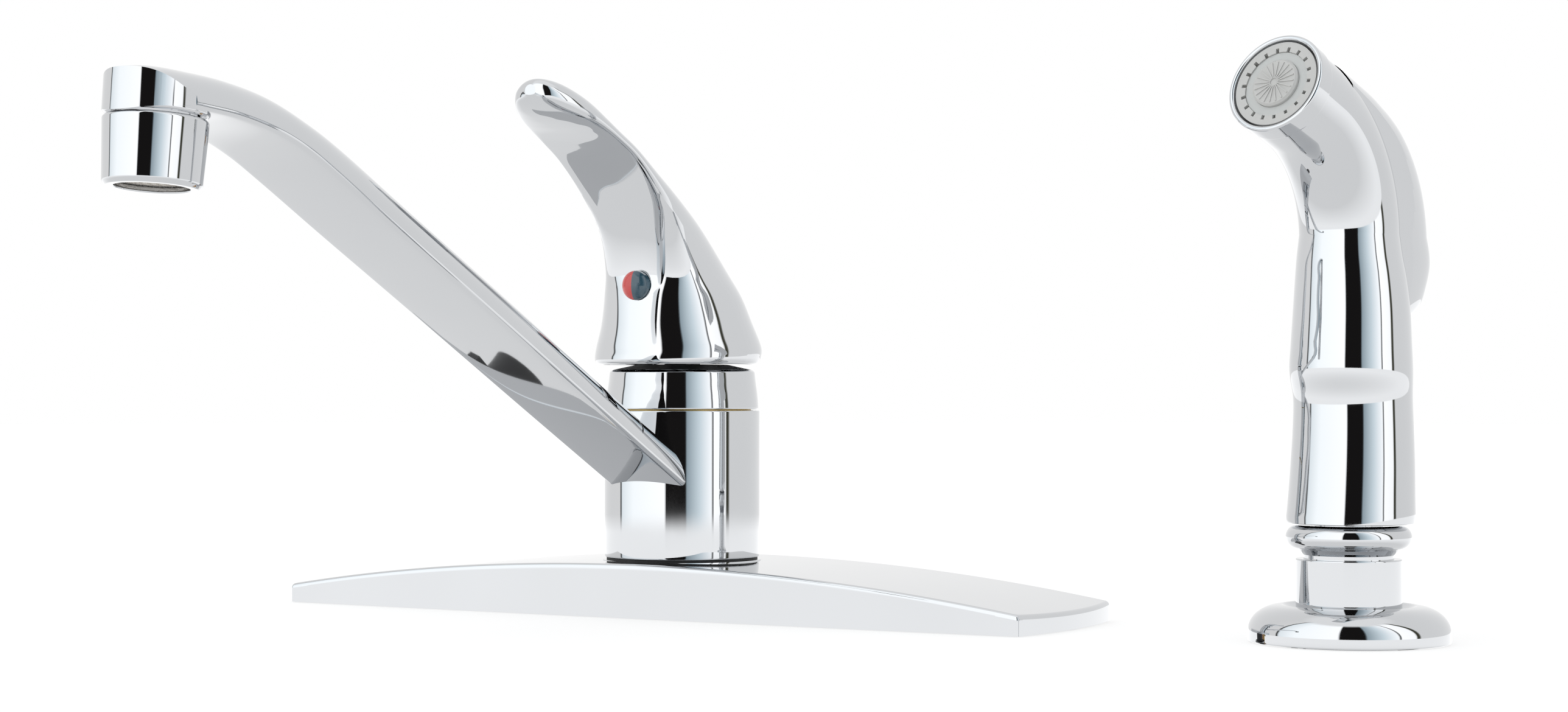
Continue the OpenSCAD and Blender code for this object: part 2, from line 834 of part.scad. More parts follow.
module aerator_shell() {
    color("gainsboro")
    at_head() difference() {
        rotate_extrude() polygon([
            [0, -0.5],
            [head_r - 0.8, -0.5],
            [head_r - 0.15, -1.1],
            [aerator_mouth_d / 2 + 0.1, -aerator_l + 0.8],
            [aerator_mouth_d / 2 - 0.7, -aerator_l],
            [0, -aerator_l]
        ]);
        translate([0, 0, -nipple_l - 2]) cylinder(r = nipple_r + turn_gap, h = nipple_l + 2);
        translate([0, 0, screen_z - 0.1]) cylinder(r = insert_r + 0.1, h = aerator_l);
        translate([0, 0, -aerator_l - over]) cylinder(r = mouth_r, h = aerator_l);
    }
}

function handle_ring(u) =
    let (k = along(handle_keys, u))
    section(k[0], k[1], k[2], k[3], k[4], k[5], k[6], 2, handle_sides);

module handle() {
    color("gainsboro")
    difference() {
        skin([for (i = [0 : handle_steps]) handle_ring(i * (len(handle_keys) - 1) / handle_steps)]);
        difference() {
            translate([0, -skirt_y + 0.3, 0]) rotate_extrude() polygon([
                [0, skirt_z - over],
                [skirt_r - 2.4, skirt_z - over],
                [skirt_r - 2.4, 76],
                [skirt_r - 4.9, 84],
                [skirt_r - 9, 90],
                [0, 91]
            ]);
            translate([0, 0, boss_z]) cylinder(r = boss_r, h = 30);
        }
        translate([0, 10, skirt_z]) rotate([skirt_slope, 0, 0])
            translate([-50, 0, -20]) cube([100, 50, 20]);
        translate([0, 0, boss_z - over]) stem_socket();
        translate([0, 0, button_z]) rotate([90, 0, 0]) {
            cylinder(r = screw_r + turn_gap, h = 40);
            translate([0, 0, button_face_y - button_depth]) cylinder(r = button_r + 0.1, h = 20);
        }
    }
}

module stem_socket() {
    w = stem_w + 2 * socket_gap;
    translate([-w / 2, -w / 2, 0]) cube([w, w, stem_top + socket_gap - boss_z + over]);
}

module set_screw() {
    color("dimgray")
    translate([0, -stem_w / 2, button_z]) rotate([90, 0, 0]) difference() {
        cylinder(r = screw_r, h = screw_l);
        translate([0, 0, screw_l - 3]) cylinder(d = 2.9, h = 4, $fn = 6);
    }
}

module index_button() {
    color("red")
    translate([0, 0, button_z]) rotate([90, 0, 0]) {
        translate([0, 0, button_face_y - button_depth]) cylinder(r = button_r, h = button_depth - 0.2);
        translate([0, 0, button_face_y - button_depth - 2.6]) cylinder(r = 2.2, h = 3);
        translate([0, 0, button_face_y - 0.2]) rotate_extrude() intersection() {
            translate([0, 1.6 - dome_r()]) circle(r = dome_r());
            square([button_r, 3]);
        }
    }
}

// Radius of a dome 1.6 high on the button's face
function dome_r() = (button_r * button_r + 1.6 * 1.6) / (2 * 1.6);

module diverter_plunger() {
    color("white")
    translate([0, spray_port_y, chamber_z]) {
        cylinder(r = 2.2, h = 12);
        translate([0, 0, 3]) cylinder(r = chamber_r - slide_gap, h = 6);
    }
}

module diverter_seal() {
    color("black")
    translate([0, spray_port_y, chamber_z + 9]) tube(chamber_r - slide_gap, 2.2 + turn_gap, 1.6);
}

module at_spray_axis() {
    translate([spray_x, 0, 0]) children();
}

module in_spray() {
    at_spray_axis() rotate([0, 0, spray_turn]) children();
}

// Everything on the axis of the spray's face: z is 0 at the face and points outwards
module at_face() {
    in_spray() translate([0, -face_d, face_z]) rotate([turn_end, 0, 0]) children();
}

module spray_holder() {
    color("gainsboro")
    at_spray_axis() difference() {
        union() {
            rotate_extrude() polygon(concat(
                [[0, rim_z], [flange_r, rim_z], [flange_r, flange_edge]],
                [for (a = [10 : 10 : 70])
                    [lip_r + (flange_r - lip_r) * cos(a),
                     flange_edge + (lip_z - flange_edge) * sin(a)]],
                [[lip_r, lip_z], [lip_r - 0.7, lip_z], [collar_r + 0.8, dish_z], [0, dish_z]]
            ));
            translate([0, 0, -holder_shank_len])
                cylinder(r = holder_shank_r, h = holder_shank_len + dish_z);
        }
        translate([0, 0, -holder_shank_len - over])
            cylinder(r = holder_bore_r, h = holder_shank_len + 2 * lip_z);
        rotate_extrude() polygon([
            [holder_shank_r + 0.6, 0],
            [flange_r - flange_wall, 0],
            [flange_r - flange_wall, flange_edge + 0.4],
            [lip_r + 1.5, lip_z - 3.4],
            [holder_shank_r + 0.6, lip_z - 4.4]
        ]);
        translate([0, 0, holder_relief_z - relief_w]) difference() {
            cylinder(r = holder_shank_r + over, h = relief_w);
            cylinder(r = holder_shank_r - 0.9, h = relief_w);
        }
    }
}

module holder_gasket() {
    color("black")
    at_spray_axis() tube(flange_r - flange_wall - 0.2, holder_shank_r + 0.6, holder_pad);
}

module holder_nut() {
    color("dimgray")
    at_spray_axis() translate([0, 0, -sink_t - holder_nut_h]) difference() {
        union() {
            cylinder(r = holder_nut_r - 2, h = holder_nut_h);
            for (a = [30 : 60 : 330]) rotate([0, 0, a])
                translate([0, -2.5, 0]) cube([holder_nut_r, 5, holder_nut_h]);
        }
        translate([0, 0, -over]) cylinder(r = holder_shank_r + turn_gap, h = holder_nut_h + 2 * over);
    }
}

module hose_coupling() {
    color("gainsboro")
    at_spray_axis() difference() {
        union() {
            translate([0, 0, tail_z]) cylinder(r = tail_r, h = collar_z - tail_z + over);
            rotate_extrude() polygon(concat(
                [[0, collar_z], [collar_r, collar_z], [collar_r, collar_top - 0.4],
                 [collar_r - 0.4, collar_top], [groove_r, collar_top],
                 [groove_r, bead_z - bead_h / 2 - 1.5]],
                [for (a = [-80 : 16 : 80])
                    [bead_r - bead_h / 2 + bead_h / 2 * cos(a), bead_z + bead_h / 2 * sin(a)]],
                [[0, bead_z + bead_h / 2]]
            ));
            translate([0, 0, bead_z]) cylinder(r = neck_r, h = neck_top - bead_z);
        }
        translate([0, 0, tail_z - over]) cylinder(r = hose_bore_r, h = neck_top - tail_z + 2 * over);
        translate([0, 0, clip_z - 0.1]) difference() {
            cylinder(r = neck_r + over, h = clip_t + 0.2);
            cylinder(r = neck_r - 1.2, h = clip_t + 0.2);
        }
    }
}

module coupling_clip() {
    color("silver")
    at_spray_axis() translate([0, 0, clip_z]) tube(clip_r, neck_r - 1.1, clip_t);
}

module swivel_seal() {
    color("black")
    at_spray_axis() translate([0, 0, neck_top + 0.1]) tube(neck_r - 0.4, hose_bore_r, 1.4);
}

// Sections of the spray: straight up, round the bend, then out along the barrel
function straight_ring(k) = section(k[1], k[0], 0, k[2], k[2], k[2], 2, 2, spray_sides);
function bend_point(a) = [bend_r - bend_r * cos(a), bend_z + bend_r * sin(a)];
function bend_radius(a) = lerp(spray_r - 3.6, barrel_r, a / turn_end);
function lerp(a, b, t) = a + (b - a) * t;
function bend_ring(a) =
    let (p = bend_point(a), r = bend_radius(a), lag = -0.8 * (1 - a / turn_end))
    section(p[0] + lag, p[1], a, r, r, r, 2, 2, spray_sides);
function barrel_ring(t) =
    let (s = t * (barrel_l - bezel_t))
    section(neck_end_d + s * sin(turn_end), neck_end_z + s * cos(turn_end), turn_end,
        barrel_r, barrel_r, barrel_r, 2, 2, spray_sides);

module spray_form() {
    skin(concat(
        [for (i = [0 : body_steps]) straight_ring(along(body_keys, i * (len(body_keys) - 1) / body_steps))],
        [for (i = [1 : bend_steps]) bend_ring(turn_end * i / bend_steps)],
        [for (i = [1 : barrel_steps]) barrel_ring(i / barrel_steps)]
    ));
}

// A slab across the spray: points are (forward, height)
module across(half, points) {
    rotate([90, 0, 90]) translate([0, 0, -half])
        linear_extrude(2 * half) polygon([for (p = points) [-p[0], p[1]]]);
}

// The trigger's foot and the pocket's floor are arcs round the trigger's pin
function foot_arc(from, r) =
    [for (i = [0 : 8])
        let (d = lerp(from, -36, i / 8))
        [d, pin_z - sqrt(r * r - (pin_d - d) * (pin_d - d))]];

module pocket_form() {
    across(pocket_half, concat(
        [[16.6, 170], [16.6, 144], [13.6, 135.6], [6.2, 130.6], [1.5, 126.5], [-0.8, 122.5],
         [pocket_back, 119]],
        foot_arc(pocket_back, foot_r + loose_gap),
        [[-40, 170]]
    ));
}

// The lug inside the pocket that holds the trigger's pin
module pin_lug(half, grow) {
    across(half, [
        [17.2, 143.2 + grow], [13.1, 142.2 + grow], [10, 142.2 + grow], [7.3 - grow, 141 + grow],
        [6.8 - grow, 138.5], [8.2 - grow, 131], [16.4, 134]
    ]);
}

module spray_body() {
    color("gainsboro")
    difference() {
        in_spray() spray_form();
        in_spray() difference() {
            pocket_form();
            pin_lug(lug_half, 0);
        }
        in_spray() translate([0, -pin_d, pin_z]) rotate([0, 90, 0])
            cylinder(r = pin_r, h = 40, center = true);
        at_spray_axis() translate([0, 0, foot_z - over]) cylinder(r = neck_r + turn_gap, h = 9 + over);
        at_spray_axis() translate([0, 0, clip_z - 0.2]) cylinder(r = clip_r + 0.2, h = clip_t + 0.4);
        at_spray_axis() translate([0, 0, neck_top]) cylinder(r = neck_r, h = 1.8);
        in_spray() translate([0, -4.5, neck_top]) cylinder(r = 3, h = 86);
        in_spray() translate([0, -4.5, neck_top + 84]) rotate([49, 0, 0]) cylinder(r = 2.2, h = 18);
        in_spray() translate([0, 0, valve_z]) rotate([90, 0, 0]) translate([0, 0, -8])
            cylinder(r = valve_r + turn_gap, h = 8 + valve_in + 4.7);
        in_spray() translate([0, 0, valve_z]) rotate([90, 0, 0]) translate([0, 0, -8])
            cylinder(r = 4.2, h = 8 + 0.5);
        at_face() translate([0, 0, -face_seat - 14]) cylinder(r = 3, h = 30);
        at_face() translate([0, 0, -face_seat - 3]) cylinder(r = face_r - 1.5, h = 30);
    }
}

module spray_bezel() {
    color("gainsboro")
    at_face() difference() {
        rotate_extrude() polygon(concat(
            [[0, -bezel_t], [bezel_r - 0.7, -bezel_t], [bezel_r, -bezel_t + 0.7]],
            [for (a = [0 : 22.5 : 180])
                [bezel_r - 0.7 + 0.7 * cos(a), -0.1 + 0.7 * sin(a)]],
            [[bezel_r - 1.45, -0.6], [0, -0.6]]
        ));
        translate([0, 0, -bezel_t - over]) cylinder(r = face_r - 1.5, h = 20);
        translate([0, 0, -face_seat]) cylinder(r = face_r + turn_gap, h = 20);
    }
}

module spray_face() {
    color("darkgray")
    at_face() translate([0, 0, -face_seat]) difference() {
        cylinder(r = face_r, h = face_seat);
        translate([0, 0, -over]) cylinder(r = notch_ring_r, h = face_seat + 2 * over);
        for (i = [0 : notches - 1]) rotate([0, 0, 360 * i / notches])
            translate([notch_ring_r - 0.5, -0.45, face_seat - 1.4]) cube([1.7, 0.9, 2]);
    }
}

module spray_inner_ring() {
    color("lightgray")
    at_face() translate([0, 0, -face_seat]) difference() {
        cylinder(r = notch_ring_r - turn_gap, h = face_seat - 0.4);
        translate([0, 0, -over]) cylinder(r = centre_r - 1.4, h = face_seat + 2 * over);
        translate([0, 0, face_seat - 2]) cylinder(r = centre_r + turn_gap, h = 3);
    }
}

module spray_centre_disc() {
    color("darkgray")
    at_face() difference() {
        union() {
            translate([0, 0, -2]) cylinder(r = centre_r, h = 2.3);
            translate([0, 0, 0.3]) cylinder(r1 = centre_r, r2 = centre_r - 0.5, h = 0.5);
            for (i = [0 : disc_ribs - 1]) rotate([0, 0, 360 * i / disc_ribs])
                translate([1, -0.14, 0.7]) cube([centre_r - 1.8, 0.28, 0.35]);
        }
        for (i = [0 : 5]) rotate([0, 0, 60 * i]) translate([4, 0, -3]) cylinder(r = 0.6, h = 2.4);
    }
}

module trigger_pin() {
    color("silver")
    in_spray() translate([0, -pin_d, pin_z]) rotate([0, 90, 0])
        cylinder(r = pin_r, h = 2 * pin_half, center = true);
}

function trigger_straight(k) =
    section(0, k[0], 0, trigger_half + 0.3, 2, k[1], 2, 3, trigger_sides);
function trigger_bend(u) =
    let (a = turn_end * u / (len(trigger_bend_keys) - 1), p = bend_point(a),
        back = along([for (v = trigger_bend_keys) [v]], u)[0],
        power = lerp(3, 2, min(1, u / 3)),
        half = lerp(trigger_half + 0.3, barrel_r, min(1, u / 3)))
    section(p[0], p[1], a, half, 2, back, 2, power, trigger_sides);
function trigger_barrel(s) =
    section(neck_end_d + s * sin(turn_end), neck_end_z + s * cos(turn_end), turn_end,
        barrel_r, 2, barrel_r + 0.05, 2, 2, trigger_sides);

module trigger_form() {
    skin(concat(
        [for (i = [0 : trigger_steps])
            trigger_straight(along(trigger_keys, i * (len(trigger_keys) - 1) / trigger_steps))],
        [for (i = [1 : 10]) trigger_bend(i / 2)],
        [trigger_barrel(6)]
    ));
}

module spray_trigger() {
    color("gainsboro")
    in_spray() difference() {
        intersection() {
            trigger_form();
            across(trigger_half, concat(
                [[16, 170], [16, 144.6], [13, 136.7], [5.6, 131.9], [0.6, 128.5], [-2.8, 124],
                 [-4, 120], [-4.9, 112], [-5.7, 104], [-6.4, 97], [-7.3, 88]],
                [for (p = foot_arc(-7.7, foot_r)) [p[0], max(p[1], trigger_low)]],
                [[-40, 170]]
            ));
        }
        across(trigger_half - 2.8, [
            [7, 130.4], [4, 138.6], [-4.5, 134.5], [-12, 127], [-17, 119], [-19.8, 110],
            [trigger_wall_d, 104], [trigger_wall_d, 97], [-19, 90.5], [-6, 88], [-3.6, 112],
            [-1.6, 121], [3, 127.6]
        ]);
        pin_lug(lug_half + loose_gap, 0.8);
        difference() {
            across(trigger_half - 6.2, [
                [4.5, 133], [3.5, 140.4], [-5.4, 137.6], [-16.2, 129.8], [-24, 118.6],
                [-27, 107], [-28.4, 101], [-28.4, 97], [-26.4, 93.5], [-22, 90], [-8, 87.5]
            ]);
            translate([0, 0, valve_z]) rotate([90, 0, 0])
                translate([0, 0, -40]) cylinder(r = 5.4, h = 40 + trigger_wall_d);
        }
        translate([0, -pin_d, pin_z]) rotate([0, 90, 0])
            cylinder(r = pin_r + turn_gap, h = 40, center = true);
    }
}

module spray_valve_stem() {
    color("silver")
    in_spray() translate([0, 0, valve_z]) rotate([90, 0, 0]) {
        translate([0, 0, valve_out]) cylinder(r = valve_r, h = valve_in - valve_out);
        translate([0, 0, valve_out]) cylinder(r = valve_cap_r, h = valve_cap_t);
    }
}

module stem_seal() {
    color("black")
    in_spray() translate([0, 0, valve_z]) rotate([90, 0, 0])
        translate([0, 0, -1.3]) tube(4.1, valve_r + turn_gap, 1.6);
}

// A wire wound round the valve's stem, from the body's pocket to the stem's cap
module trigger_spring() {
    steps = 8 * spring_turns;
    sides = 6;
    wire = spring_wire / 2;
    start = pocket_back - 0.05 - wire;
    end = valve_out + valve_cap_t + 0.05 + wire;
    color("silver")
    in_spray() translate([0, 0, valve_z])
    skin([for (i = [0 : steps])
        let (
            a = 360 * spring_turns * i / steps,
            y = -lerp(start, end, i / steps)
        )
        [for (j = [0 : sides - 1])
            let (
                b = 360 * j / sides,
                r = spring_r + wire * cos(b)
            )
            [r * cos(a), y + wire * sin(b), r * sin(a)]]]);
}

deck_plate();
base_pan();
deck_gasket();
mounting_shanks();
mounting_washers();
mounting_nuts();
valve_body();
supply_tubes();
spray_outlet();
cartridge_seals();
cartridge_base();
cartridge_housing();
fixed_disc();
cartridge_nut();
cap_ring();
base_ring();
upper_glide_ring();
spout_o_rings();
spout();
aerator_washer();
aerator_insert();
aerator_screen();
aerator_shell();
stem_carrier();
stem_pin();
lever_stem();
handle();
set_screw();
index_button();
moving_disc();
disc_carrier();
diverter_plunger();
diverter_seal();
spray_holder();
holder_gasket();
holder_nut();
hose_coupling();
coupling_clip();
swivel_seal();
spray_body();
spray_bezel();
spray_face();
spray_inner_ring();
spray_centre_disc();
trigger_pin();
spray_trigger();
spray_valve_stem();
stem_seal();
trigger_spring();
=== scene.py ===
# Single-lever kitchen faucet in polished chrome, with its side spray: the looks of the packed part.
# Laid out as an add-on and run as a script. Profiles and keys are in millimetres, as in the part's source.
import json
import math

import bmesh
import bpy
from mathutils import Matrix, Vector


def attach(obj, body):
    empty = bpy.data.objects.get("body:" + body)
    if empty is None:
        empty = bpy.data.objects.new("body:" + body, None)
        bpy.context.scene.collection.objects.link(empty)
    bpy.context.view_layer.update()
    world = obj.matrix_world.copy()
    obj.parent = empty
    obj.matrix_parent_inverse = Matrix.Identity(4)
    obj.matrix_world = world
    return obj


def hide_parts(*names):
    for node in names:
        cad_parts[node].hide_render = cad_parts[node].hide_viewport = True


bl_info = {
    "name": "Kitchen faucet looks",
    "version": (1, 0, 0),
    "blender": (4, 5, 0),
    "location": "View3D > Sidebar > Faucet",
    "description": "Models and finishes the visible pieces of a kitchen faucet round its CAD frame",
    "category": "Object",
}

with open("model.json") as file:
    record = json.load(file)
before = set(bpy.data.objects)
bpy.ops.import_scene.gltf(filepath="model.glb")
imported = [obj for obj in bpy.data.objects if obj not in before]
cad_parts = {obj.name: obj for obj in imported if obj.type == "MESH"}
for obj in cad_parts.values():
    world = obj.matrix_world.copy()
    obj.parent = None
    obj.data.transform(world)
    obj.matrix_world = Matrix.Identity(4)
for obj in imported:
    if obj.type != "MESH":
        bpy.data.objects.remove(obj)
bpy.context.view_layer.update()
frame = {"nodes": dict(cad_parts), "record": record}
MM = 0.001


# Plain geometry

def curve(a, b, c, d, t):
    """A value on the smooth curve between b and c"""
    return 0.5 * (2 * b + (c - a) * t + (2 * a - 5 * b + 4 * c - d) * t * t
                  + (3 * b - a - 3 * c + d) * t ** 3)


def along(keys, u):
    """The row at place u on a smooth curve through all the rows"""
    last = len(keys) - 1
    i = min(int(u), last - 1)
    rows = (keys[max(i - 1, 0)], keys[i], keys[i + 1], keys[min(i + 2, last)])
    return [curve(*values, u - i) for values in zip(*rows)]


def lerp(a, b, t):
    """The value at share t of the way from a to b"""
    return a + (b - a) * t


def signed(v, power):
    """The size of v raised to a power, with v's sign"""
    return math.copysign(abs(v) ** power, v)


def section(forward, height, tilt, half, front, back, front_power, back_power, sides):
    """A ring round a section that leans by tilt, with its own depth and fullness to each side"""
    ring = []
    c, s = math.cos(math.radians(tilt)), math.sin(math.radians(tilt))
    for i in range(sides):
        a = 2 * math.pi * i / sides
        rear = math.sin(a) >= 0
        depth, power = (back, back_power) if rear else (front, front_power)
        x = half * signed(math.cos(a), 2 / power)
        w = -depth * signed(math.sin(a), 2 / power)
        ring.append((x, -forward - w * c, height - w * s))
    return ring


def eased(ring, size, crown=48, under=28, corner=7):
    """A ring with its two side corners rounded off, and its points set out evenly"""
    half = len(ring) // 2
    points = [Vector(p) for p in ring]
    sides = []
    for run, count in ((points[:half + 1], crown), (points[half:] + points[:1], under)):
        at = [0.0]
        for before, after in zip(run, run[1:]):
            at.append(at[-1] + (after - before).length)
        inset = min(size, at[-1] / 5)
        even, k = [], 0
        for i in range(count + 1):
            goal = lerp(inset, at[-1] - inset, i / count)
            while k < len(at) - 2 and at[k + 1] < goal:
                k += 1
            even.append(run[k].lerp(run[k + 1], (goal - at[k]) / (at[k + 1] - at[k])))
        sides.append(even)
    out = []
    for side, other, peak in ((sides[0], sides[1], points[half]), (sides[1], sides[0], points[0])):
        out += side
        for i in range(1, corner):
            t = i / corner
            out.append(side[-1] * (1 - t) ** 2 + peak * 2 * t * (1 - t) + other[0] * t * t)
    return [tuple(p) for p in out]


def circle_ring(radius, height, sides):
    """A level ring round Z"""
    turn = 2 * math.pi / sides
    return [(radius * math.cos(i * turn), radius * math.sin(i * turn), height) for i in range(sides)]


def rounded(corners, steps=5):
    """A profile of (radius, height) points from corners (radius, height, size of the rounding)"""
    points = []
    for i, (r, z, size) in enumerate(corners):
        here = Vector((r, z))
        if not size:
            points.append((r, z))
            continue
        before = Vector(corners[i - 1][:2])
        after = Vector(corners[(i + 1) % len(corners)][:2])
        start = here + (before - here).normalized() * size
        stop = here + (after - here).normalized() * size
        for k in range(steps + 1):
            t = k / steps
            points.append(tuple(start * (1 - t) ** 2 + here * 2 * t * (1 - t) + stop * t * t))
    return points


# Modelling steps

def only(piece):
    """Selects one piece and nothing else"""
    bpy.ops.object.select_all(action="DESELECT")
    bpy.context.view_layer.objects.active = piece
    piece.select_set(True)


def boundary(mesh):
    """Selects the open edges in edit mode"""
    bpy.ops.mesh.select_all(action="DESELECT")
    for edge in mesh.edges:
        if edge.is_boundary or edge.is_wire:
            edge.select_set(True)


def lofted(name, rings, ends="caps", together=False):
    """A skin bridged from ring to ring; its ends are capped, or the last ring closes on the first"""
    count = len(rings[0])
    bpy.ops.object.select_all(action="DESELECT")
    bpy.ops.mesh.primitive_circle_add(vertices=count, radius=0.01)
    piece = bpy.context.object
    piece.name = piece.data.name = name
    bpy.ops.object.mode_set(mode="EDIT")
    bpy.ops.mesh.select_mode(type="VERT")
    for _ in rings[1:]:
        bpy.ops.mesh.primitive_circle_add(vertices=count, radius=0.01)
    mesh = bmesh.from_edit_mesh(piece.data)
    mesh.verts.ensure_lookup_table()
    for i, point in enumerate(point for ring in rings for point in ring):
        mesh.verts[i].co = Vector(point) * MM
    bmesh.update_edit_mesh(piece.data)
    if together:
        bpy.ops.mesh.select_all(action="SELECT")
        bpy.ops.mesh.bridge_edge_loops()
    pairs = [] if together else [(k, k + 1) for k in range(len(rings) - 1)]
    if ends == "closed":
        pairs.append((len(rings) - 1, 0))
    for pair in pairs:
        bpy.ops.mesh.select_all(action="DESELECT")
        mesh = bmesh.from_edit_mesh(piece.data)
        mesh.verts.ensure_lookup_table()
        for k in pair:
            for i in range(k * count, (k + 1) * count):
                mesh.verts[i].select_set(True)
        mesh.select_flush(True)
        bpy.ops.mesh.bridge_edge_loops()
    if ends == "caps":
        boundary(bmesh.from_edit_mesh(piece.data))
        bpy.ops.mesh.fill_holes(sides=0)
    bpy.ops.mesh.select_all(action="SELECT")
    bpy.ops.mesh.normals_make_consistent(inside=False)
    bpy.ops.object.mode_set(mode="OBJECT")
    return piece


def turned(name, profile, sides=144, ends="closed"):
    """A body of revolution about Z from (radius, height) points"""
    return lofted(name, [circle_ring(r, z, sides) for r, z in profile], ends)


def prism(name, half, outline):
    """A slab across the piece from (forward, height) points"""
    return lofted(name, [[(x, -d, z) for d, z in outline] for x in (-half, half)])


def block(name, low, high):
    """A box between two corners, for cutting"""
    return lofted(name, [[(low[0], low[1], z), (high[0], low[1], z),
                          (high[0], high[1], z), (low[0], high[1], z)] for z in (low[2], high[2])])


def moved(piece, matrix):
    """Puts the mesh in place and leaves the object at the origin"""
    only(piece)
    piece.matrix_world = matrix
    bpy.ops.object.transform_apply(location=True, rotation=True, scale=True)
    return piece


def shaped(piece, tool, how="DIFFERENCE"):
    """Cuts a piece with a tool, or keeps what they share, and throws the tool away"""
    only(piece)
    step = piece.modifiers.new("Shape", "BOOLEAN")
    step.operation = how
    step.solver = "EXACT"
    step.object = tool
    bpy.ops.object.modifier_apply(modifier=step.name)
    only(tool)
    bpy.ops.object.delete()
    return piece


def joined(name, pieces):
    """Makes one piece of several"""
    only(pieces[0])
    for piece in pieces[1:]:
        piece.select_set(True)
    bpy.ops.object.join()
    pieces[0].name = pieces[0].data.name = name
    return pieces[0]


def dressed(piece, body, finish, nodes, angle=32):
    """Shades a finished piece, gives it its material and hangs it on its body"""
    only(piece)
    bpy.ops.object.shade_smooth_by_angle(angle=math.radians(angle))
    step = piece.modifiers.new("Normals", "WEIGHTED_NORMAL")
    step.keep_sharp = True
    bpy.ops.object.modifier_apply(modifier=step.name)
    piece.data.materials.clear()
    piece.data.materials.append(finish)
    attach(piece, body)
    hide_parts(*nodes)
    return piece


# Materials

class Finish:
    """A material as it is put together"""

    def __init__(self, name, color, roughness, metallic=0.0, **values):
        self.material = bpy.data.materials.new(name)
        self.material.use_nodes = True
        self.tree = self.material.node_tree
        self.shader = self.tree.nodes["Principled BSDF"]
        self.set(self.shader, {"Base Color": (*color, 1), "Roughness": roughness, "Metallic": metallic})
        self.set(self.shader, values)
        self.place = self.tree.nodes.new("ShaderNodeTexCoord").outputs["Object"]

    def set(self, node, values):
        for name, value in values.items():
            node.inputs[name].default_value = value

    def node(self, kind, links=None, values=None, **settings):
        made = self.tree.nodes.new(kind)
        for name, value in settings.items():
            setattr(made, name, value)
        self.set(made, values or {})
        for name, source in (links or {}).items():
            self.tree.links.new(source, made.inputs[name])
        return made

    def noise(self, scale, detail=3.0):
        return self.node("ShaderNodeTexNoise", {"Vector": self.place},
                         {"Scale": scale, "Detail": detail}).outputs["Fac"]

    def ranged(self, source, low, high, start=0.3, stop=0.7):
        return self.node("ShaderNodeMapRange", {"Value": source}, {
            "From Min": start, "From Max": stop, "To Min": low, "To Max": high}).outputs["Result"]

    def mixed(self, factor, first, second):
        mix = self.node("ShaderNodeMix", {"Factor": factor}, data_type="RGBA")
        for place, value in (("A", first), ("B", second)):
            socket = next(s for s in mix.inputs if s.name == place and s.type == "RGBA")
            if isinstance(value, tuple):
                socket.default_value = (*value, 1)
            else:
                self.tree.links.new(value, socket)
        return next(s for s in mix.outputs if s.type == "RGBA")

    def wear(self, scale, low, high):
        """Roughness that wanders between two values"""
        self.tree.links.new(self.ranged(self.noise(scale), low, high), self.shader.inputs["Roughness"])
        return self

    def bump(self, height, distance, strength=1.0):
        made = self.node("ShaderNodeBump", {"Height": height}, {"Distance": distance, "Strength": strength})
        self.tree.links.new(made.outputs["Normal"], self.shader.inputs["Normal"])
        return self

    def tinted(self, scale, first, second):
        """Colour that wanders between two close shades"""
        spread = self.ranged(self.noise(scale), 0.0, 1.0)
        self.tree.links.new(self.mixed(spread, first, second), self.shader.inputs["Base Color"])
        return self


finishes = {}


def plated(name, looks, peel):
    """Bright chrome plate: nearly clear reflections, a little haze, and the slow wave of polishing"""
    shade = tuple(looks.chrome)
    made = Finish(name, shade, 0.04, 1.0)
    made.tinted(14, shade, tuple(v * 0.965 for v in shade))
    made.wear(40, looks.polish * 0.6, looks.polish * 1.5)
    made.bump(made.noise(26, 1.0), peel * MM)
    return made.material


def moulded(name, shade, roughness, grain, mottle=0.88):
    """Moulded plastic or rubber: fine grain and slightly uneven gloss"""
    made = Finish(name, shade, roughness)
    made.tinted(30, shade, tuple(v * mottle for v in shade))
    made.wear(80, roughness * 0.85, roughness * 1.15)
    made.bump(made.noise(grain, 2.0), 0.004 * MM)
    return made.material


def machined(name, shade, roughness):
    """Turned metal: faint rings of the tool and changes of tone"""
    made = Finish(name, shade, roughness, 1.0)
    made.tinted(24, shade, tuple(v * 0.82 for v in shade))
    made.wear(60, roughness * 0.7, roughness * 1.3)
    rings = made.node("ShaderNodeTexWave", {"Vector": made.place}, {"Scale": 900.0, "Distortion": 1.0},
                      bands_direction="Z").outputs["Fac"]
    made.bump(rings, 0.01 * MM)
    return made.material


def screened(name, shade):
    """A fine woven screen: the openings between its threads are darker, painted shade of the recess behind
    them
    """
    made = Finish(name, shade, 0.5)
    apart = made.node("ShaderNodeSeparateXYZ", {"Vector": made.place})
    waves = []
    for axis in "XY":
        turns = made.node("ShaderNodeMath", {0: apart.outputs[axis]}, {1: 2 * math.pi / 0.0012},
                          operation="MULTIPLY").outputs[0]
        wave = made.node("ShaderNodeMath", {0: turns}, operation="SINE").outputs[0]
        waves.append(made.node("ShaderNodeMath", {0: wave}, operation="ABSOLUTE").outputs[0])
    thread = made.node("ShaderNodeMath", {0: waves[0], 1: waves[1]}, operation="MINIMUM").outputs[0]
    spread = made.ranged(thread, 0.0, 1.0, 0.15, 0.55)
    # The openings between the threads take the darker colour: painted shade of the recess behind the screen.
    made.tree.links.new(made.mixed(spread, shade, (0.6, 0.55, 0.5)), made.shader.inputs["Base Color"])
    made.bump(thread, -0.15 * MM)
    return made.material


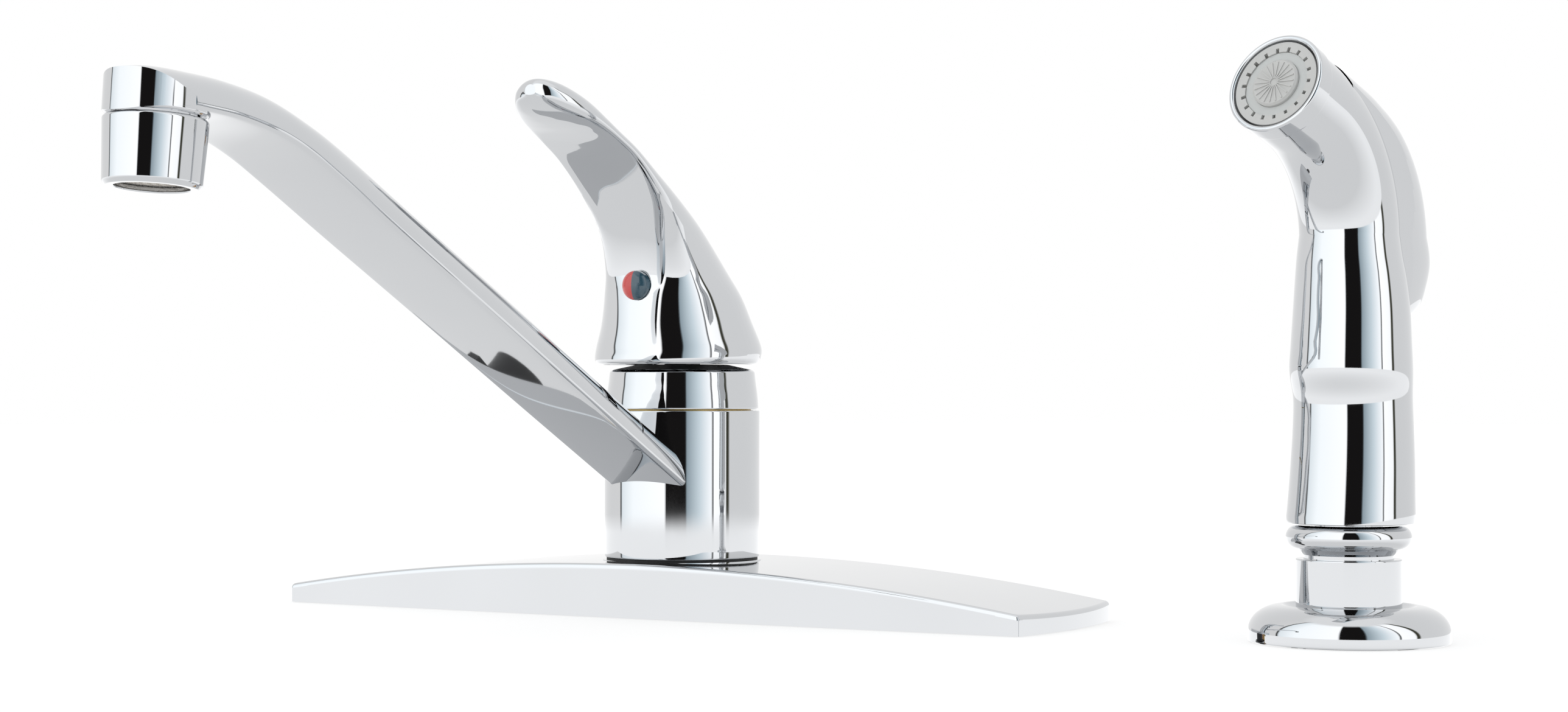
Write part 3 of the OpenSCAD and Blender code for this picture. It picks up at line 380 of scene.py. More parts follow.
def two_sided(name, warm, cool):
    """The index button: warm to the left of its middle line and cool to the right"""
    made = Finish(name, cool, 0.18, 0.0, **{"Coat Weight": 0.6, "Coat Roughness": 0.08})
    apart = made.node("ShaderNodeSeparateXYZ", {"Vector": made.place})
    side = made.ranged(apart.outputs["X"], 0.0, 1.0, -0.0001, 0.0001)
    soft = made.ranged(made.noise(300), 0.0, 0.25)
    dark = made.mixed(soft, cool, tuple(v * 0.85 for v in cool))
    made.tree.links.new(made.mixed(side, warm, dark), made.shader.inputs["Base Color"])
    made.wear(200, 0.14, 0.24)
    return made.material


# What a user would change

def length(name, value, text):
    return bpy.props.FloatProperty(name=name, description=text, default=value * MM, min=0.0,
                                   subtype="DISTANCE", unit="LENGTH", precision=4)


def angle(name, value, text):
    return bpy.props.FloatProperty(name=name, description=text, default=math.radians(value),
                                   subtype="ANGLE", unit="ROTATION")


def shade(name, value, text):
    return bpy.props.FloatVectorProperty(name=name, description=text, default=value, size=3,
                                         min=0.0, max=1.0, subtype="COLOR")


class FaucetLooks(bpy.types.PropertyGroup):
    """Colours and finish of the faucet and its floor"""

    chrome: shade("Chrome", (0.6, 0.612, 0.628), "Colour of the chrome plate")
    polish: bpy.props.FloatProperty(name="Polish", description="Roughness of the chrome plate",
                                    default=0.03, min=0.0, max=0.4, subtype="FACTOR")
    warm: shade("Hot side", (0.62, 0.035, 0.03), "Colour of the index button's hot side")
    cool: shade("Cold side", (0.035, 0.085, 0.12), "Colour of the index button's cold side")
    floor: shade("Floor", (0.8, 0.8, 0.8), "Colour of the floor")


class FaucetBody(bpy.types.PropertyGroup):
    """Sizes of the plate, the spout, the cap and the handle"""

    plate_length: length("Plate length", 254, "Length of the deck plate, end to end")
    plate_width: length("Plate width", 63.5, "Width of the deck plate at its middle")
    plate_height: length("Plate height", 15.6, "Height of the deck plate's arch at its middle")
    plate_end: length("Plate end height", 5.2, "Height of the deck plate's arch at its two ends")
    sleeve: length("Sleeve diameter", 45.7, "Diameter of the sleeve that turns on the tower")
    reach: length("Reach", 221.8, "Distance from the sleeve's axis to the outlet's axis")
    rise: angle("Arm rise", 26.7, "Slope of the arm")
    head: length("Head diameter", 24.2, "Diameter of the outlet head")
    cap: length("Cap diameter", 45, "Diameter of the cap ring at its foot")
    skirt: length("Skirt diameter", 48.6, "Diameter of the handle's skirt")
    blade: length("Blade width", 27.7, "Width of the lever's blade")
    button: length("Button diameter", 8.5, "Diameter of the index button")


class FaucetSpray(bpy.types.PropertyGroup):
    """Sizes of the side spray"""

    away: length("Distance", 203.2, "Distance from the spout's axis to the spray's axis")
    turn: angle("Turn", -13, "Turn of the spray in its holder")
    flange: length("Flange diameter", 51.6, "Diameter of the holder's flange")
    foot: length("Body diameter", 32.8, "Diameter of the spray's body at its foot")
    bezel: length("Bezel diameter", 26.6, "Diameter of the spray's bezel")
    face_rise: angle("Face elevation", 21.5, "Elevation of the spray's face")


ANGLES = ("rise", "turn", "face_rise")


def sizes():
    """The scene's sizes in millimetres and degrees, by name"""
    found = {}
    for group in (bpy.context.scene.faucet_body, bpy.context.scene.faucet_spray):
        for name in group.__annotations__:
            value = getattr(group, name)
            found[name] = math.degrees(value) if name in ANGLES else value / MM
    return found


# Heights and radii that several pieces share, as in the part's source
SLEEVE_FOOT, SLEEVE_TOP, BORE, TOWER = 16.3, 59.3, 20.9, 20.3
CAP_FOOT, CAP_TOP, SKIRT_Z, SKIRT_Y = 59.7, 71.2, 72.8, 2.7
BUTTON_Z, BUTTON_Y = 95.4, 24.9
HEAD_Z, HEAD_TILT, AERATOR = 126.6, 4.5, 16.4
FOOT_Z, BEND_Z, BEND_R, BARREL = 30.7, 105.2, 34.0, 12.8
PIN_D, PIN_Z, FOOT_R, LOOSE = 10.0, 139.0, 61.0, 0.4
TRIGGER_HALF, LUG_HALF = 10.8, 5.4

# The photo's camera: place in metres, heading and rise in degrees, focal length in pixels of the photo
EYE, YAW, PITCH = (0.43052, -0.68049, 0.06304), 30.18, 0.88
FOCAL, PHOTO_WIDTH, SENSOR = 4471.9, 2576, 36


def at_head(s):
    """Places what is on the outlet's axis"""
    return Matrix.Translation(Vector((0, -s["reach"], HEAD_Z)) * MM) @ \
        Matrix.Rotation(math.radians(-HEAD_TILT), 4, "X")


def in_spray(s):
    """Places what is on the spray's own axis"""
    return Matrix.Translation((s["away"] * MM, 0, 0)) @ Matrix.Rotation(math.radians(s["turn"]), 4, "Z")


def on_bend(turn, run=0.0):
    """Forward and height of the spray's middle line: turned by so many degrees, then straight on"""
    t = math.radians(turn)
    return (BEND_R - BEND_R * math.cos(t) + run * math.sin(t),
            BEND_Z + BEND_R * math.sin(t) + run * math.cos(t))


def at_face(s):
    """Places what is on the axis of the spray's face"""
    turn_end = 90 - s["face_rise"]
    t = math.radians(turn_end)
    forward, height = on_bend(turn_end, BARREL)
    return in_spray(s) @ Matrix.Translation(Vector((0, -forward, height)) * MM) @ \
        Matrix.Rotation(t, 4, "X")


# Pieces

class MakeFinishes(bpy.types.Operator):
    """Makes the materials and gives every CAD node its own"""

    bl_idname = "faucet.finishes"
    bl_label = "Finishes"

    def execute(self, context):
        looks = context.scene.faucet_looks
        finishes.update({
            "chrome": plated("Chrome plate", looks, 0.012),
            "chrome_plastic": plated("Chrome plate on plastic", looks, 0.02),
            "brass": machined("Machined brass", (0.5, 0.36, 0.14), 0.28),
            "copper": machined("Copper tube", (0.58, 0.27, 0.14), 0.3),
            "steel": machined("Stainless steel", (0.42, 0.43, 0.45), 0.3),
            "black_plastic": moulded("Black plastic and painted gap shade", (0.018, 0.018, 0.02), 0.42, 700),
            "black_rubber": moulded("Black rubber", (0.012, 0.012, 0.012), 0.65, 500),
            "white_plastic": moulded("White plastic", (0.7, 0.7, 0.66), 0.4, 600),
            "ceramic": moulded("Lapped ceramic", (0.8, 0.76, 0.64), 0.12, 900),
            # The screen's colour is set paler than its own tan: painted light that makes up for the shade
            # deep in the aerator's mouth.
            "screen_plastic": screened("Woven screen with painted light and shade", (0.95, 0.9, 0.82)),
            "button_plastic": two_sided("Index button", tuple(looks.warm), tuple(looks.cool)),
            "grey_plastic": moulded("Grey plastic", (0.56, 0.555, 0.54), 0.42, 800, 0.95),
            "pale_grey_plastic": moulded("Pale grey plastic", (0.56, 0.57, 0.56), 0.4, 800, 0.95),
        })
        for row in frame["record"]["subparts"]:
            node = frame["nodes"][row["node"]]
            node.data.materials.clear()
            node.data.materials.append(finishes[row["material_slot"]])
        return {"FINISHED"}


class MakePlate(bpy.types.Operator):
    """Presses the arched deck plate with its flat land round the tower"""

    bl_idname = "faucet.plate"
    bl_label = "Deck plate"

    def execute(self, context):
        s = sizes()
        half_l, half_w = s["plate_length"] / 2, s["plate_width"] / 2
        side_bow, end_bow, wall, rim_z = 1.6, 2.8, 1.8, 0.2
        top, rise = s["plate_height"], s["plate_height"] - s["plate_end"]
        arch_r = (half_l ** 2 + rise ** 2) / (2 * rise)
        corner = (half_l - end_bow, half_w - side_bow)
        side_r = (corner[0] ** 2 + side_bow ** 2) / (2 * side_bow)
        end_r = (corner[1] ** 2 + end_bow ** 2) / (2 * end_bow)
        cut_r = math.hypot(*corner) - 0.7
        land = s["sleeve"] / 2 + 0.5
        corner_at = math.atan2(corner[1], corner[0])

        def edge(a, inset):
            """How far the outline is from the middle in direction a, with its corners eased"""
            c, k = abs(math.cos(a)), abs(math.sin(a))
            limits = [cut_r - inset]
            for part, radius, reach in ((k, side_r, half_w - inset), (c, end_r, half_l - inset)):
                off = radius - reach
                limits.append(-part * off + math.sqrt((part * off) ** 2 + radius ** 2 - off ** 2))
            low = min(limits)
            return low - math.log(sum(math.exp(-(v - low) * 2.5) for v in limits)) / 2.5

        # Directions: even steps along the outline, and closer ones round the corners
        quarter = []
        dense = [math.pi / 2 * i / 6000 for i in range(6001)]
        run, previous = 0.0, None
        for a in dense:
            here = Vector((math.cos(a), math.sin(a))) * edge(a, 0)
            if previous is not None:
                run += (here - previous).length * (12 if abs(a - corner_at) < 0.016 else 1)
            previous = here
            if not quarter or run >= 2.2:
                quarter.append(a)
                run = 0.0
        quarter = [a for a in quarter if a < math.pi / 2 - 0.004]
        angles = quarter + [math.pi / 2] + [math.pi - a for a in reversed(quarter) if a > 0] + [math.pi]
        angles += [-a for a in reversed(angles) if 0 < a < math.pi]

        def arch(x, y):
            return top - arch_r + math.sqrt(arch_r ** 2 - x * x)

        def ring(radii, height):
            points = [(r * math.cos(a), r * math.sin(a)) for r, a in zip(radii, angles)]
            return [(x, y, height(x, y)) for x, y in points]

        ease = 1.1
        outer = [edge(a, 0) for a in angles]
        rings = [ring(outer, lambda x, y: rim_z)]
        rings += [ring(outer, lambda x, y, t=t: lerp(rim_z, arch(x, y) - ease, t)) for t in (0.3, 0.65, 0.9)]
        for i in range(9):
            a = math.pi / 2 * i / 8
            inset, drop = ease * (1 - math.cos(a)), ease * (1 - math.sin(a))
            rings.append(ring([edge(v, inset) for v in angles], lambda x, y, d=drop: arch(x, y) - d))
        inner = [edge(v, ease) for v in angles]
        for t in (0.02, 0.06, 0.12, 0.2, 0.3, 0.4, 0.5, 0.6, 0.7, 0.8, 0.88, 0.94, 0.98, 1.0):
            rings.append(ring([lerp(r, land, t) for r in inner], arch))
        rings.append(ring([land - 0.05] * len(angles), lambda x, y: top - 0.03))
        rings.append(ring([land - 0.15] * len(angles), lambda x, y: top))
        rings.append(ring([TOWER + 0.4] * len(angles), lambda x, y: top))
        rings.append(ring([TOWER + 0.4] * len(angles), lambda x, y: top - wall))
        rings.append(ring([land] * len(angles), lambda x, y: top - wall))
        lining = [edge(v, wall) for v in angles]
        for t in (0.0, 0.25, 0.5, 0.75, 1.0):
            rings.append(ring([lerp(land + 0.3, r, t) for r in lining], lambda x, y: arch(x, y) - wall))
        rings.append(ring(lining, lambda x, y: rim_z))
        plate = lofted("plate_cover", rings, "closed")
        dressed(plate, "base", finishes["chrome"], ["deck_plate"], 40)
        return {"FINISHED"}


class MakeSpout(bpy.types.Operator):
    """Casts the sleeve, the rising arm and the outlet head as one piece"""

    bl_idname = "faucet.spout"
    bl_label = "Spout"

    def execute(self, context):
        s = sizes()
        reach, rise, head = s["reach"], s["rise"], s["head"] / 2
        slope, root, t, half = math.tan(math.radians(rise)), 28.3, 11.4, 13.0

        def under(forward):
            return root + slope * forward

        drop = under(reach - 49.8) - (HEAD_Z - 11.4)
        keys = [
            [9, under(9), rise, t, half],
            [60, under(60), rise, t - 0.1, half],
            [110, under(110) + 0.2, rise, t - 0.2, half],
            [reach - 72.6, under(reach - 72.6) - drop / 2, rise, t - 0.4, half],
            [reach - 49.8, under(reach - 49.8) - drop, rise, t - 0.7, half],
            [reach - 37.6, HEAD_Z - 5.6, 23.5, t - 1.4, half - 0.1],
            [reach - 26.6, HEAD_Z - 1.9, 15, t - 1.5, half - 0.4],
            [reach - 14.6, HEAD_Z + 0.3, 6, t - 1.8, head + 0.5],
            [reach - 3.6, HEAD_Z + 1.2, 1, t - 2, head + 0.3],
            [reach + 4.4, HEAD_Z + 1.6, -1, t - 2.2, head + 0.3],
            [reach + 9.4, HEAD_Z + 1.6, -4, t - 2.6, head + 0.3],
            [reach + 11.9, HEAD_Z + 1.3, -8, t - 3.2, head + 0.3],
            [reach + 13.9, HEAD_Z + 0.6, -12, t - 5, head + 0.3],
        ]
        steps = 130
        rings = []
        for i in range(steps + 1):
            k = along(keys, i * (len(keys) - 1) / steps)
            rings.append(eased(section(k[0], k[1], 90 - k[2], k[4], 0.7, k[3], 2, 2.3, 480), 1.3))
        arm = lofted("spout_arm", rings, together=True)
        beyond = block("cut", (-26, -reach - 26, HEAD_Z - 26), (26, -reach, HEAD_Z + 26))
        rod = moved(turned("rod", [(head, -40), (head, 40)], 160, "caps"), at_head(s))
        shaped(beyond, rod)
        shaped(arm, beyond)
        shaped(arm, turned("bore", [(BORE + 0.6, 10), (BORE + 0.6, 70)], 160, "caps"))
        wall = head - 0.04
        outlet = moved(turned("spout_head", rounded([
            (6.2, -6, 0), (head - 2.25, -6, 0.3), (head - 2.25, 0, 0), (wall - 0.6, 0, 0), (wall, 0.5, 0.3),
            (wall, 2.6, 0), (6.2, 2.6, 0)]), 160), at_head(s))
        sleeve = turned("sleeve", rounded([
            (BORE, SLEEVE_FOOT, 0), (s["sleeve"] / 2 - 0.1, SLEEVE_FOOT, 0.45),
            (s["sleeve"] / 2, SLEEVE_FOOT + 2.5, 0.3), (s["sleeve"] / 2, SLEEVE_TOP, 0.4),
            (BORE, SLEEVE_TOP, 0)]), 160)
        spout = joined("spout_casting", [arm, outlet, sleeve])
        dressed(spout, "spout_set", finishes["chrome"], ["spout"])
        return {"FINISHED"}


class MakeAerator(bpy.types.Operator):
    """Turns the aerator's plain shell with its rolled mouth"""

    bl_idname = "faucet.aerator"
    bl_label = "Aerator"

    def execute(self, context):
        s = sizes()
        head, mouth = s["head"] / 2, 11.15
        shell = turned("aerator_cover", rounded([
            (head - 2.2, -0.5, 0), (head - 0.7, -0.5, 0.2), (head - 0.15, -1.1, 0.3),
            (mouth + 0.1, -AERATOR + 0.9, 0.4), (mouth - 0.7, -AERATOR, 0.35), (8.5, -AERATOR, 0.3),
            (8.5, -AERATOR + 1.2, 0.2), (9.2, -AERATOR + 1.6, 0), (9.2, -8, 0), (head - 2.2, -8, 0)]), 160)
        dressed(moved(shell, at_head(s)), "spout_set", finishes["chrome"], ["aerator_shell"])
        return {"FINISHED"}


class MakeCap(bpy.types.Operator):
    """Turns the cap ring between the sleeve and the handle"""

    bl_idname = "faucet.cap"
    bl_label = "Cap ring"

    def execute(self, context):
        r = sizes()["cap"] / 2
        cap = turned("cap_cover", rounded([
            (19.45, CAP_FOOT, 0), (r, CAP_FOOT, 0.4), (r - 0.1, CAP_FOOT + 2.4, 0.8),
            (r - 0.35, CAP_FOOT + 5, 0.8), (r - 0.75, CAP_FOOT + 7.7, 0.8), (r - 1.1, CAP_TOP - 0.6, 0.3),
            (r - 1.7, CAP_TOP, 0.4), (13.5, CAP_TOP + 1.6, 0.5), (12.5, CAP_TOP + 1.6, 0.2),
            (12.5, CAP_TOP - 2, 0), (19.45, CAP_TOP - 2, 0)]))
        dressed(cap, "base", finishes["chrome"], ["cap_ring"])
        # The cap's top and inner faces sit in the gap under the handle's skirt and take the black plastic:
        # painted shade that keeps that gap black.
        cap.data.materials.append(finishes["black_plastic"])
        for face in cap.data.polygons:
            if face.center.z > (CAP_TOP + 0.05) * MM or face.center.xy.length < (r - 2) * MM:
                face.material_index = 1
        return {"FINISHED"}


class MakeHandle(bpy.types.Operator):
    """Shapes the lever handle: round skirt, hollow underneath, and the blade that sweeps forward"""

    bl_idname = "faucet.handle"
    bl_label = "Handle"

    def execute(self, context):
        s = sizes()
        r, blade = s["skirt"] / 2, s["blade"] / 2
        keys = [
            [SKIRT_Y, SKIRT_Z, 0, r - 1.2, r - 1.2, r - 1.2, 2],
            [SKIRT_Y, SKIRT_Z + 0.6, 0, r - 0.3, r - 0.3, r - 0.3, 2],
            [2.4, 75, 0, r + 0.2, r + 0.1, r + 0.1, 2],
            [1.9, 78.2, 0, r, r - 0.1, r, 2],
            [2.9, 85, 0, r - 2.2, r - 1.9, r - 2, 2],
            [4.8, 93, 0, r - 4.6, 19.8, 20.1, 2.2],
            [10, 100.1, 5, 16.8, 14, 20, 2.6],
            [17.3, 109.3, 12, 14.7, 8.5, 16.7, 3],
            [25.4, 116.5, 25, blade + 0.3, 4, 12.2, 2.8],
            [34, 123.1, 40, blade + 0.1, 2, 8.6, 2.4],
            [44.4, 130.4, 52, blade, 1.2, 6.2, 2],
            [52.6, 134.6, 57, blade - 0.4, 1, 5.9, 2],
            [58.3, 137.4, 61, blade - 0.9, 1.5, 6.3, 2],
            [63.4, 139.8, 66, blade - 1.6, 2.3, 6.9, 2],
            [67.9, 142, 71, blade - 2.9, 3, 6.7, 2],
            [72.3, 144, 76, blade - 5, 3.2, 6, 2],
            [75.8, 145.3, 82, blade - 8, 2.2, 4.6, 2],
            [77.4, 146, 86, 1.8, 0.6, 2.2, 2],
        ]
        steps = 136
        rings = []
        for i in range(steps + 1):
            k = along(keys, i * (len(keys) - 1) / steps)
            rings.append(eased(section(*k, 2, 480), 1.4))
        handle = lofted("lever_handle", rings, together=True)
        hollow = turned("hollow", [(0.5, SKIRT_Z - 3), (r - 2.4, SKIRT_Z - 3), (r - 2.4, 76), (r - 4.9, 84),
                                   (r - 9, 90), (8, 91), (8, 80.5), (0.5, 80.5)], 96, "caps")
        shaped(handle, moved(hollow, Matrix.Translation((0, -0.0024, 0))))
        wedge = block("wedge", (-50, 0, -20), (50, 50, 0))
        shaped(handle, moved(wedge, Matrix.Translation((0, 0.01, SKIRT_Z * MM))
                             @ Matrix.Rotation(math.radians(12), 4, "X")))
        shaped(handle, block("socket", (-3.95, -3.95, 79), (3.95, 3.95, 99.15)))
        seat, floor = s["button"] / 2 + 0.12, BUTTON_Y - 2.6
        pocket = turned("pocket", [(2.95, 0), (2.95, floor), (seat, floor), (seat, 60)], 64, "caps")
        shaped(handle, moved(pocket, Matrix.Translation((0, 0, BUTTON_Z * MM))
                             @ Matrix.Rotation(math.radians(90), 4, "X")))
        dressed(handle, "lever", finishes["chrome"], ["handle"], 34)
        return {"FINISHED"}


class MakeButton(bpy.types.Operator):
    """Turns the domed index button, half hot and half cold"""

    bl_idname = "faucet.button"
    bl_label = "Index button"

    def execute(self, context):
        r = sizes()["button"] / 2
        dome = [(r * math.cos(math.radians(a)), 0.5 + 2.1 * math.sin(math.radians(a)))
                for a in range(0, 90, 8)]
        profile = [(2.2, -5.1), (2.2, -2.6), (r, -2.6)] + dome + [(0.15, 2.6)]
        button = turned("index_dome", profile, 96, "caps")
        dressed(moved(button, Matrix.Translation((0, -BUTTON_Y * MM, BUTTON_Z * MM))
                      @ Matrix.Rotation(math.radians(90), 4, "X")),
                "lever", finishes["button_plastic"], ["index_button"], 40)
        return {"FINISHED"}


class MakeHolder(bpy.types.Operator):
    """Turns the spray's holder: a domed flange with a dished lip and its threaded shank"""

    bl_idname = "faucet.holder"
    bl_label = "Spray holder"

    def execute(self, context):
        s = sizes()
        flange, lip, edge, top = s["flange"] / 2, 17.0, 2.8, 9.7
        dome = [(lip + (flange - lip) * math.cos(math.radians(a)),
                 edge + (top - edge) * math.sin(math.radians(a))) for a in range(0, 76, 5)]
        profile = [(flange - 0.5, 0.2), (flange - 0.15, 0.35), (flange, 0.8)] + dome
        profile += [(lip + 0.6, top + 0.02), (lip, top), (lip - 0.5, top - 0.2), (14.4, 8.05), (14.2, 8),
                    (12.2, 8), (12.2, -40), (14, -40), (14, 5), (lip + 1.5, 6.3), (flange - 2.2, 3.2),
                    (flange - 2.2, 0.2)]
        holder = turned("holder_cover", profile)
        dressed(moved(holder, Matrix.Translation((s["away"] * MM, 0, 0))), "base",
                finishes["chrome"], ["spray_holder"])
        return {"FINISHED"}


class MakeCoupling(bpy.types.Operator):
    """Turns the hose's coupling: collar, groove and bead"""

    bl_idname = "faucet.coupling"
    bl_label = "Hose coupling"

    def execute(self, context):
        s = sizes()
        bead = [(16 - 3.1 + 3.1 * math.cos(math.radians(a)), 27.2 + 3.1 * math.sin(math.radians(a)))
                for a in range(-84, 85, 8)]
        profile = rounded([(4, -8, 0), (11.8, -8, 0.3), (11.8, 8, 0), (13.5, 8, 0.2), (13.5, 21.6, 0.35),
                           (11.5, 21.6, 0), (11.5, 22.6, 0)]) + bead
        profile += [(8.6, 30.3), (8.6, 35.6), (7.4, 35.6), (7.4, 37), (8.6, 37), (8.6, 38.7), (4, 38.7)]
        coupling = turned("coupling_cover", profile)
        dressed(moved(coupling, Matrix.Translation((s["away"] * MM, 0, 0))), "hose_end",
                finishes["chrome"], ["hose_coupling"])
        return {"FINISHED"}


class MakeSpray(bpy.types.Operator):
    """Moulds the spray's body with its bend, its trigger pocket and its bezel"""

    bl_idname = "faucet.spray"
    bl_label = "Spray body"

    def execute(self, context):
        s = sizes()
        r, turn_end = s["foot"] / 2, 90 - s["face_rise"]
        barrel_r = s["bezel"] / 2 - 0.4
        keys = [
            [FOOT_Z, -0.9, r + 0.1], [38.5, -1.5, r - 0.3], [46, -2, r - 0.6], [55, -2.3, r - 1],
            [63, -2.2, r - 1.2], [70, -1.4, r - 0.7], [77, -1.5, r - 1], [86, -1.7, r - 1.5],
            [94, -1.4, r - 2.2], [99.5, -0.9, r - 2.9], [BEND_Z, -0.8, r - 3.6],
        ]
        rings = [section(-0.9, FOOT_Z, 0, r - 0.5, r - 0.5, r - 0.5, 2, 2, 112),
                 section(-0.9, FOOT_Z + 0.12, 0, r - 0.12, r - 0.12, r - 0.12, 2, 2, 112)]
        for i in range(2, 67):
            k = along(keys, i / 66 * 10)
            rings.append(section(k[1], k[0], 0, k[2], k[2], k[2], 2, 2, 112))
        for i in range(1, 31):
            a = turn_end * i / 30
            w = lerp(r - 3.6, barrel_r, i / 30)
            lag = -0.8 * (1 - i / 30)
            forward, height = on_bend(a)
            rings.append(section(forward + lag, height, a, w, w, w, 2, 2, 112))
        for i in range(1, 7):
            rings.append(section(*on_bend(turn_end, (BARREL - 5) * i / 6),
                                 turn_end, barrel_r, barrel_r, barrel_r, 2, 2, 112))
        body = lofted("spray_shell", rings, together=True)
        pocket = prism("pocket", TRIGGER_HALF + LOOSE, [
            (16.6, 170), (16.6, 144), (13.6, 135.6), (6.2, 130.6), (1.5, 126.5), (-0.8, 122.5), (-1.5, 119)]
            + foot_arc(-1.5, FOOT_R + LOOSE) + [(-40, 170)])
        shaped(body, shaped(pocket, pin_lug(LUG_HALF, 0)))
        shaped(body, turned("neck", [(8.65, FOOT_Z - 1), (8.65, 35.5), (10.2, 35.5), (10.2, 37.1),
                                     (8.65, 37.1), (8.65, 40.5)], 64, "caps"))
        bore = turned("bore", [(4.2, -8), (4.2, 0.5), (2.45, 0.5), (2.45, 9.7)], 48, "caps")
        shaped(body, moved(bore, Matrix.Translation((0, 0, 0.104))
                           @ Matrix.Rotation(math.radians(90), 4, "X")))
        dressed(moved(body, in_spray(s)), "spray", finishes["chrome_plastic"],
                ["spray_body"], 30)
        ring_r = s["bezel"] / 2
        lip = [(ring_r - 0.7 + 0.7 * math.cos(math.radians(a)), -0.1 + 0.7 * math.sin(math.radians(a)))
               for a in range(0, 181, 15)]
        bezel = turned("bezel_ring", [(ring_r - 3.35, -5), (ring_r - 0.6, -5), (ring_r - 0.1, -4.8),
                                      (ring_r, -4.3)] + lip + [(ring_r - 1.6, -0.7), (ring_r - 1.8, -1.2),
                                                               (ring_r - 1.8, -3.4), (ring_r - 3.35, -3.4)])
        dressed(moved(bezel, at_face(s)), "spray", finishes["chrome_plastic"],
                ["spray_bezel"])
        return {"FINISHED"}


def foot_arc(start, radius):
    """The trigger's foot and its pocket's floor: arcs round the trigger's pin"""
    points = []
    for i in range(25):
        d = lerp(start, -36, i / 24)
        points.append((d, PIN_Z - math.sqrt(radius ** 2 - (PIN_D - d) ** 2)))
    return points


def pin_lug(half, more):
    """The lug inside the pocket that holds the trigger's pin"""
    return prism("lug", half, [
        (17.2, 143.2 + more), (13.1, 142.2 + more), (10, 142.2 + more), (7.3 - more, 141 + more),
        (6.8 - more, 138.5), (8.2 - more, 131), (16.4, 134)])


class MakeTrigger(bpy.types.Operator):
    """Moulds the spray's trigger, hollow behind its pad"""

    bl_idname = "faucet.trigger"
    bl_label = "Trigger"

    def execute(self, context):
        s = sizes()
        turn_end = 90 - s["face_rise"]
        barrel_r = s["bezel"] / 2 - 0.4
        half, low = TRIGGER_HALF, 84
        keys = [[low, 18], [85.5, 22.6], [88, 26.8], [92, 29.6], [97, 31.9], [101, 31.9], [BEND_Z, 30.4]]
        bend = [[30.4], [28.8], [25.2], [19.9], [15.1], [barrel_r + 0.3]]
        rings = []
        for i in range(49):
            k = along(keys, i / 8)
            rings.append(section(0, k[0], 0, half + 0.3, 2, k[1], 2, 3, 96))
        for i in range(1, 31):
            u = i / 6
            a = turn_end * u / 5
            mix = min(1, u / 3)
            rings.append(section(*on_bend(a), a, lerp(half + 0.3, barrel_r, mix), 2, along(bend, u)[0], 2,
                                 lerp(3, 2, mix), 96))
        rings.append(section(*on_bend(turn_end, 6), turn_end, barrel_r, 2, barrel_r + 0.05, 2, 2, 96))
        trigger = lofted("trigger_pad", rings, together=True)
        foot = [(d, max(z, low)) for d, z in foot_arc(-7.7, FOOT_R)]
        shaped(trigger, prism("sides", half, [
            (16, 170), (16, 144.6), (13, 136.7), (5.6, 131.9), (0.6, 128.5), (-2.8, 124), (-4, 120),
            (-4.9, 112), (-5.7, 104), (-6.4, 97), (-7.3, 88)] + foot + [(-40, 170)]), "INTERSECT")
        shaped(trigger, prism("hollow", half - 2.8, [
            (7, 130.4), (4, 138.6), (-4.5, 134.5), (-12, 127), (-17, 119), (-19.8, 110), (-20.6, 104),
            (-20.6, 97), (-19, 90.5), (-6, 88), (-3.6, 112), (-1.6, 121), (3, 127.6)]))
        shaped(trigger, pin_lug(LUG_HALF + LOOSE, 0.8))
        reach = half - 0.5
        hole = turned("hole", [(1.55, -reach), (1.55, reach)], 32, "caps")
        shaped(trigger, moved(hole, Matrix.Translation((0, -PIN_D * MM, PIN_Z * MM))
                              @ Matrix.Rotation(math.radians(90), 4, "Y")))
        dressed(moved(trigger, in_spray(s)), "trigger", finishes["chrome_plastic"],
                ["spray_trigger"], 30)
        return {"FINISHED"}


class MakeStage(bpy.types.Operator):
    """Sets the camera, the white floor and the soft studio light"""

    bl_idname = "faucet.stage"
    bl_label = "Stage"

    def execute(self, context):
        scene = context.scene
        looks = scene.faucet_looks
        yaw, pitch = math.radians(YAW), math.radians(PITCH)
        ahead = Vector((-math.sin(yaw) * math.cos(pitch), math.cos(yaw) * math.cos(pitch), math.sin(pitch)))
        right = Vector((math.cos(yaw), math.sin(yaw), 0))
        up = right.cross(ahead)
        turn = Matrix((right, up, -ahead)).transposed().to_4x4()
        bpy.ops.object.select_all(action="DESELECT")
        bpy.ops.object.camera_add()
        camera = context.object
        camera.matrix_world = Matrix.Translation(EYE) @ turn
        camera.data.sensor_fit = "HORIZONTAL"
        camera.data.sensor_width = SENSOR
        camera.data.lens = SENSOR * FOCAL / PHOTO_WIDTH
        camera.data.clip_start, camera.data.clip_end = 0.01, 100
        scene.camera = camera

        bpy.ops.object.select_all(action="DESELECT")
        bpy.ops.mesh.primitive_circle_add(vertices=96, radius=6, fill_type="NGON")
        floor = context.object
        floor.name = "floor"
        made = Finish("Floor", tuple(looks.floor), 0.9)
        tree = made.tree
        out = tree.nodes["Material Output"]
        tree.nodes.remove(made.shader)
        plain = made.node("ShaderNodeBsdfDiffuse", values={"Color": (*looks.floor, 1)})
        shaded = made.node("ShaderNodeBsdfDiffuse", values={"Color": (0.3, 0.3, 0.3, 1)})
        glow = made.node("ShaderNodeEmission", values={"Color": (1, 1, 1, 1), "Strength": 0.72})
        both = made.node("ShaderNodeAddShader", {0: shaded.outputs[0], 1: glow.outputs[0]})
        mix = made.node("ShaderNodeMixShader", {0: seen(made), 1: plain.outputs[0], 2: both.outputs[0]})
        tree.links.new(mix.outputs[0], out.inputs["Surface"])
        floor.data.materials.append(made.material)
        floor.visible_glossy = False

        world = bpy.data.worlds.new("Studio")
        scene.world = world
        light_tent(world)
        scene.view_settings.view_transform = "Standard"
        return {"FINISHED"}


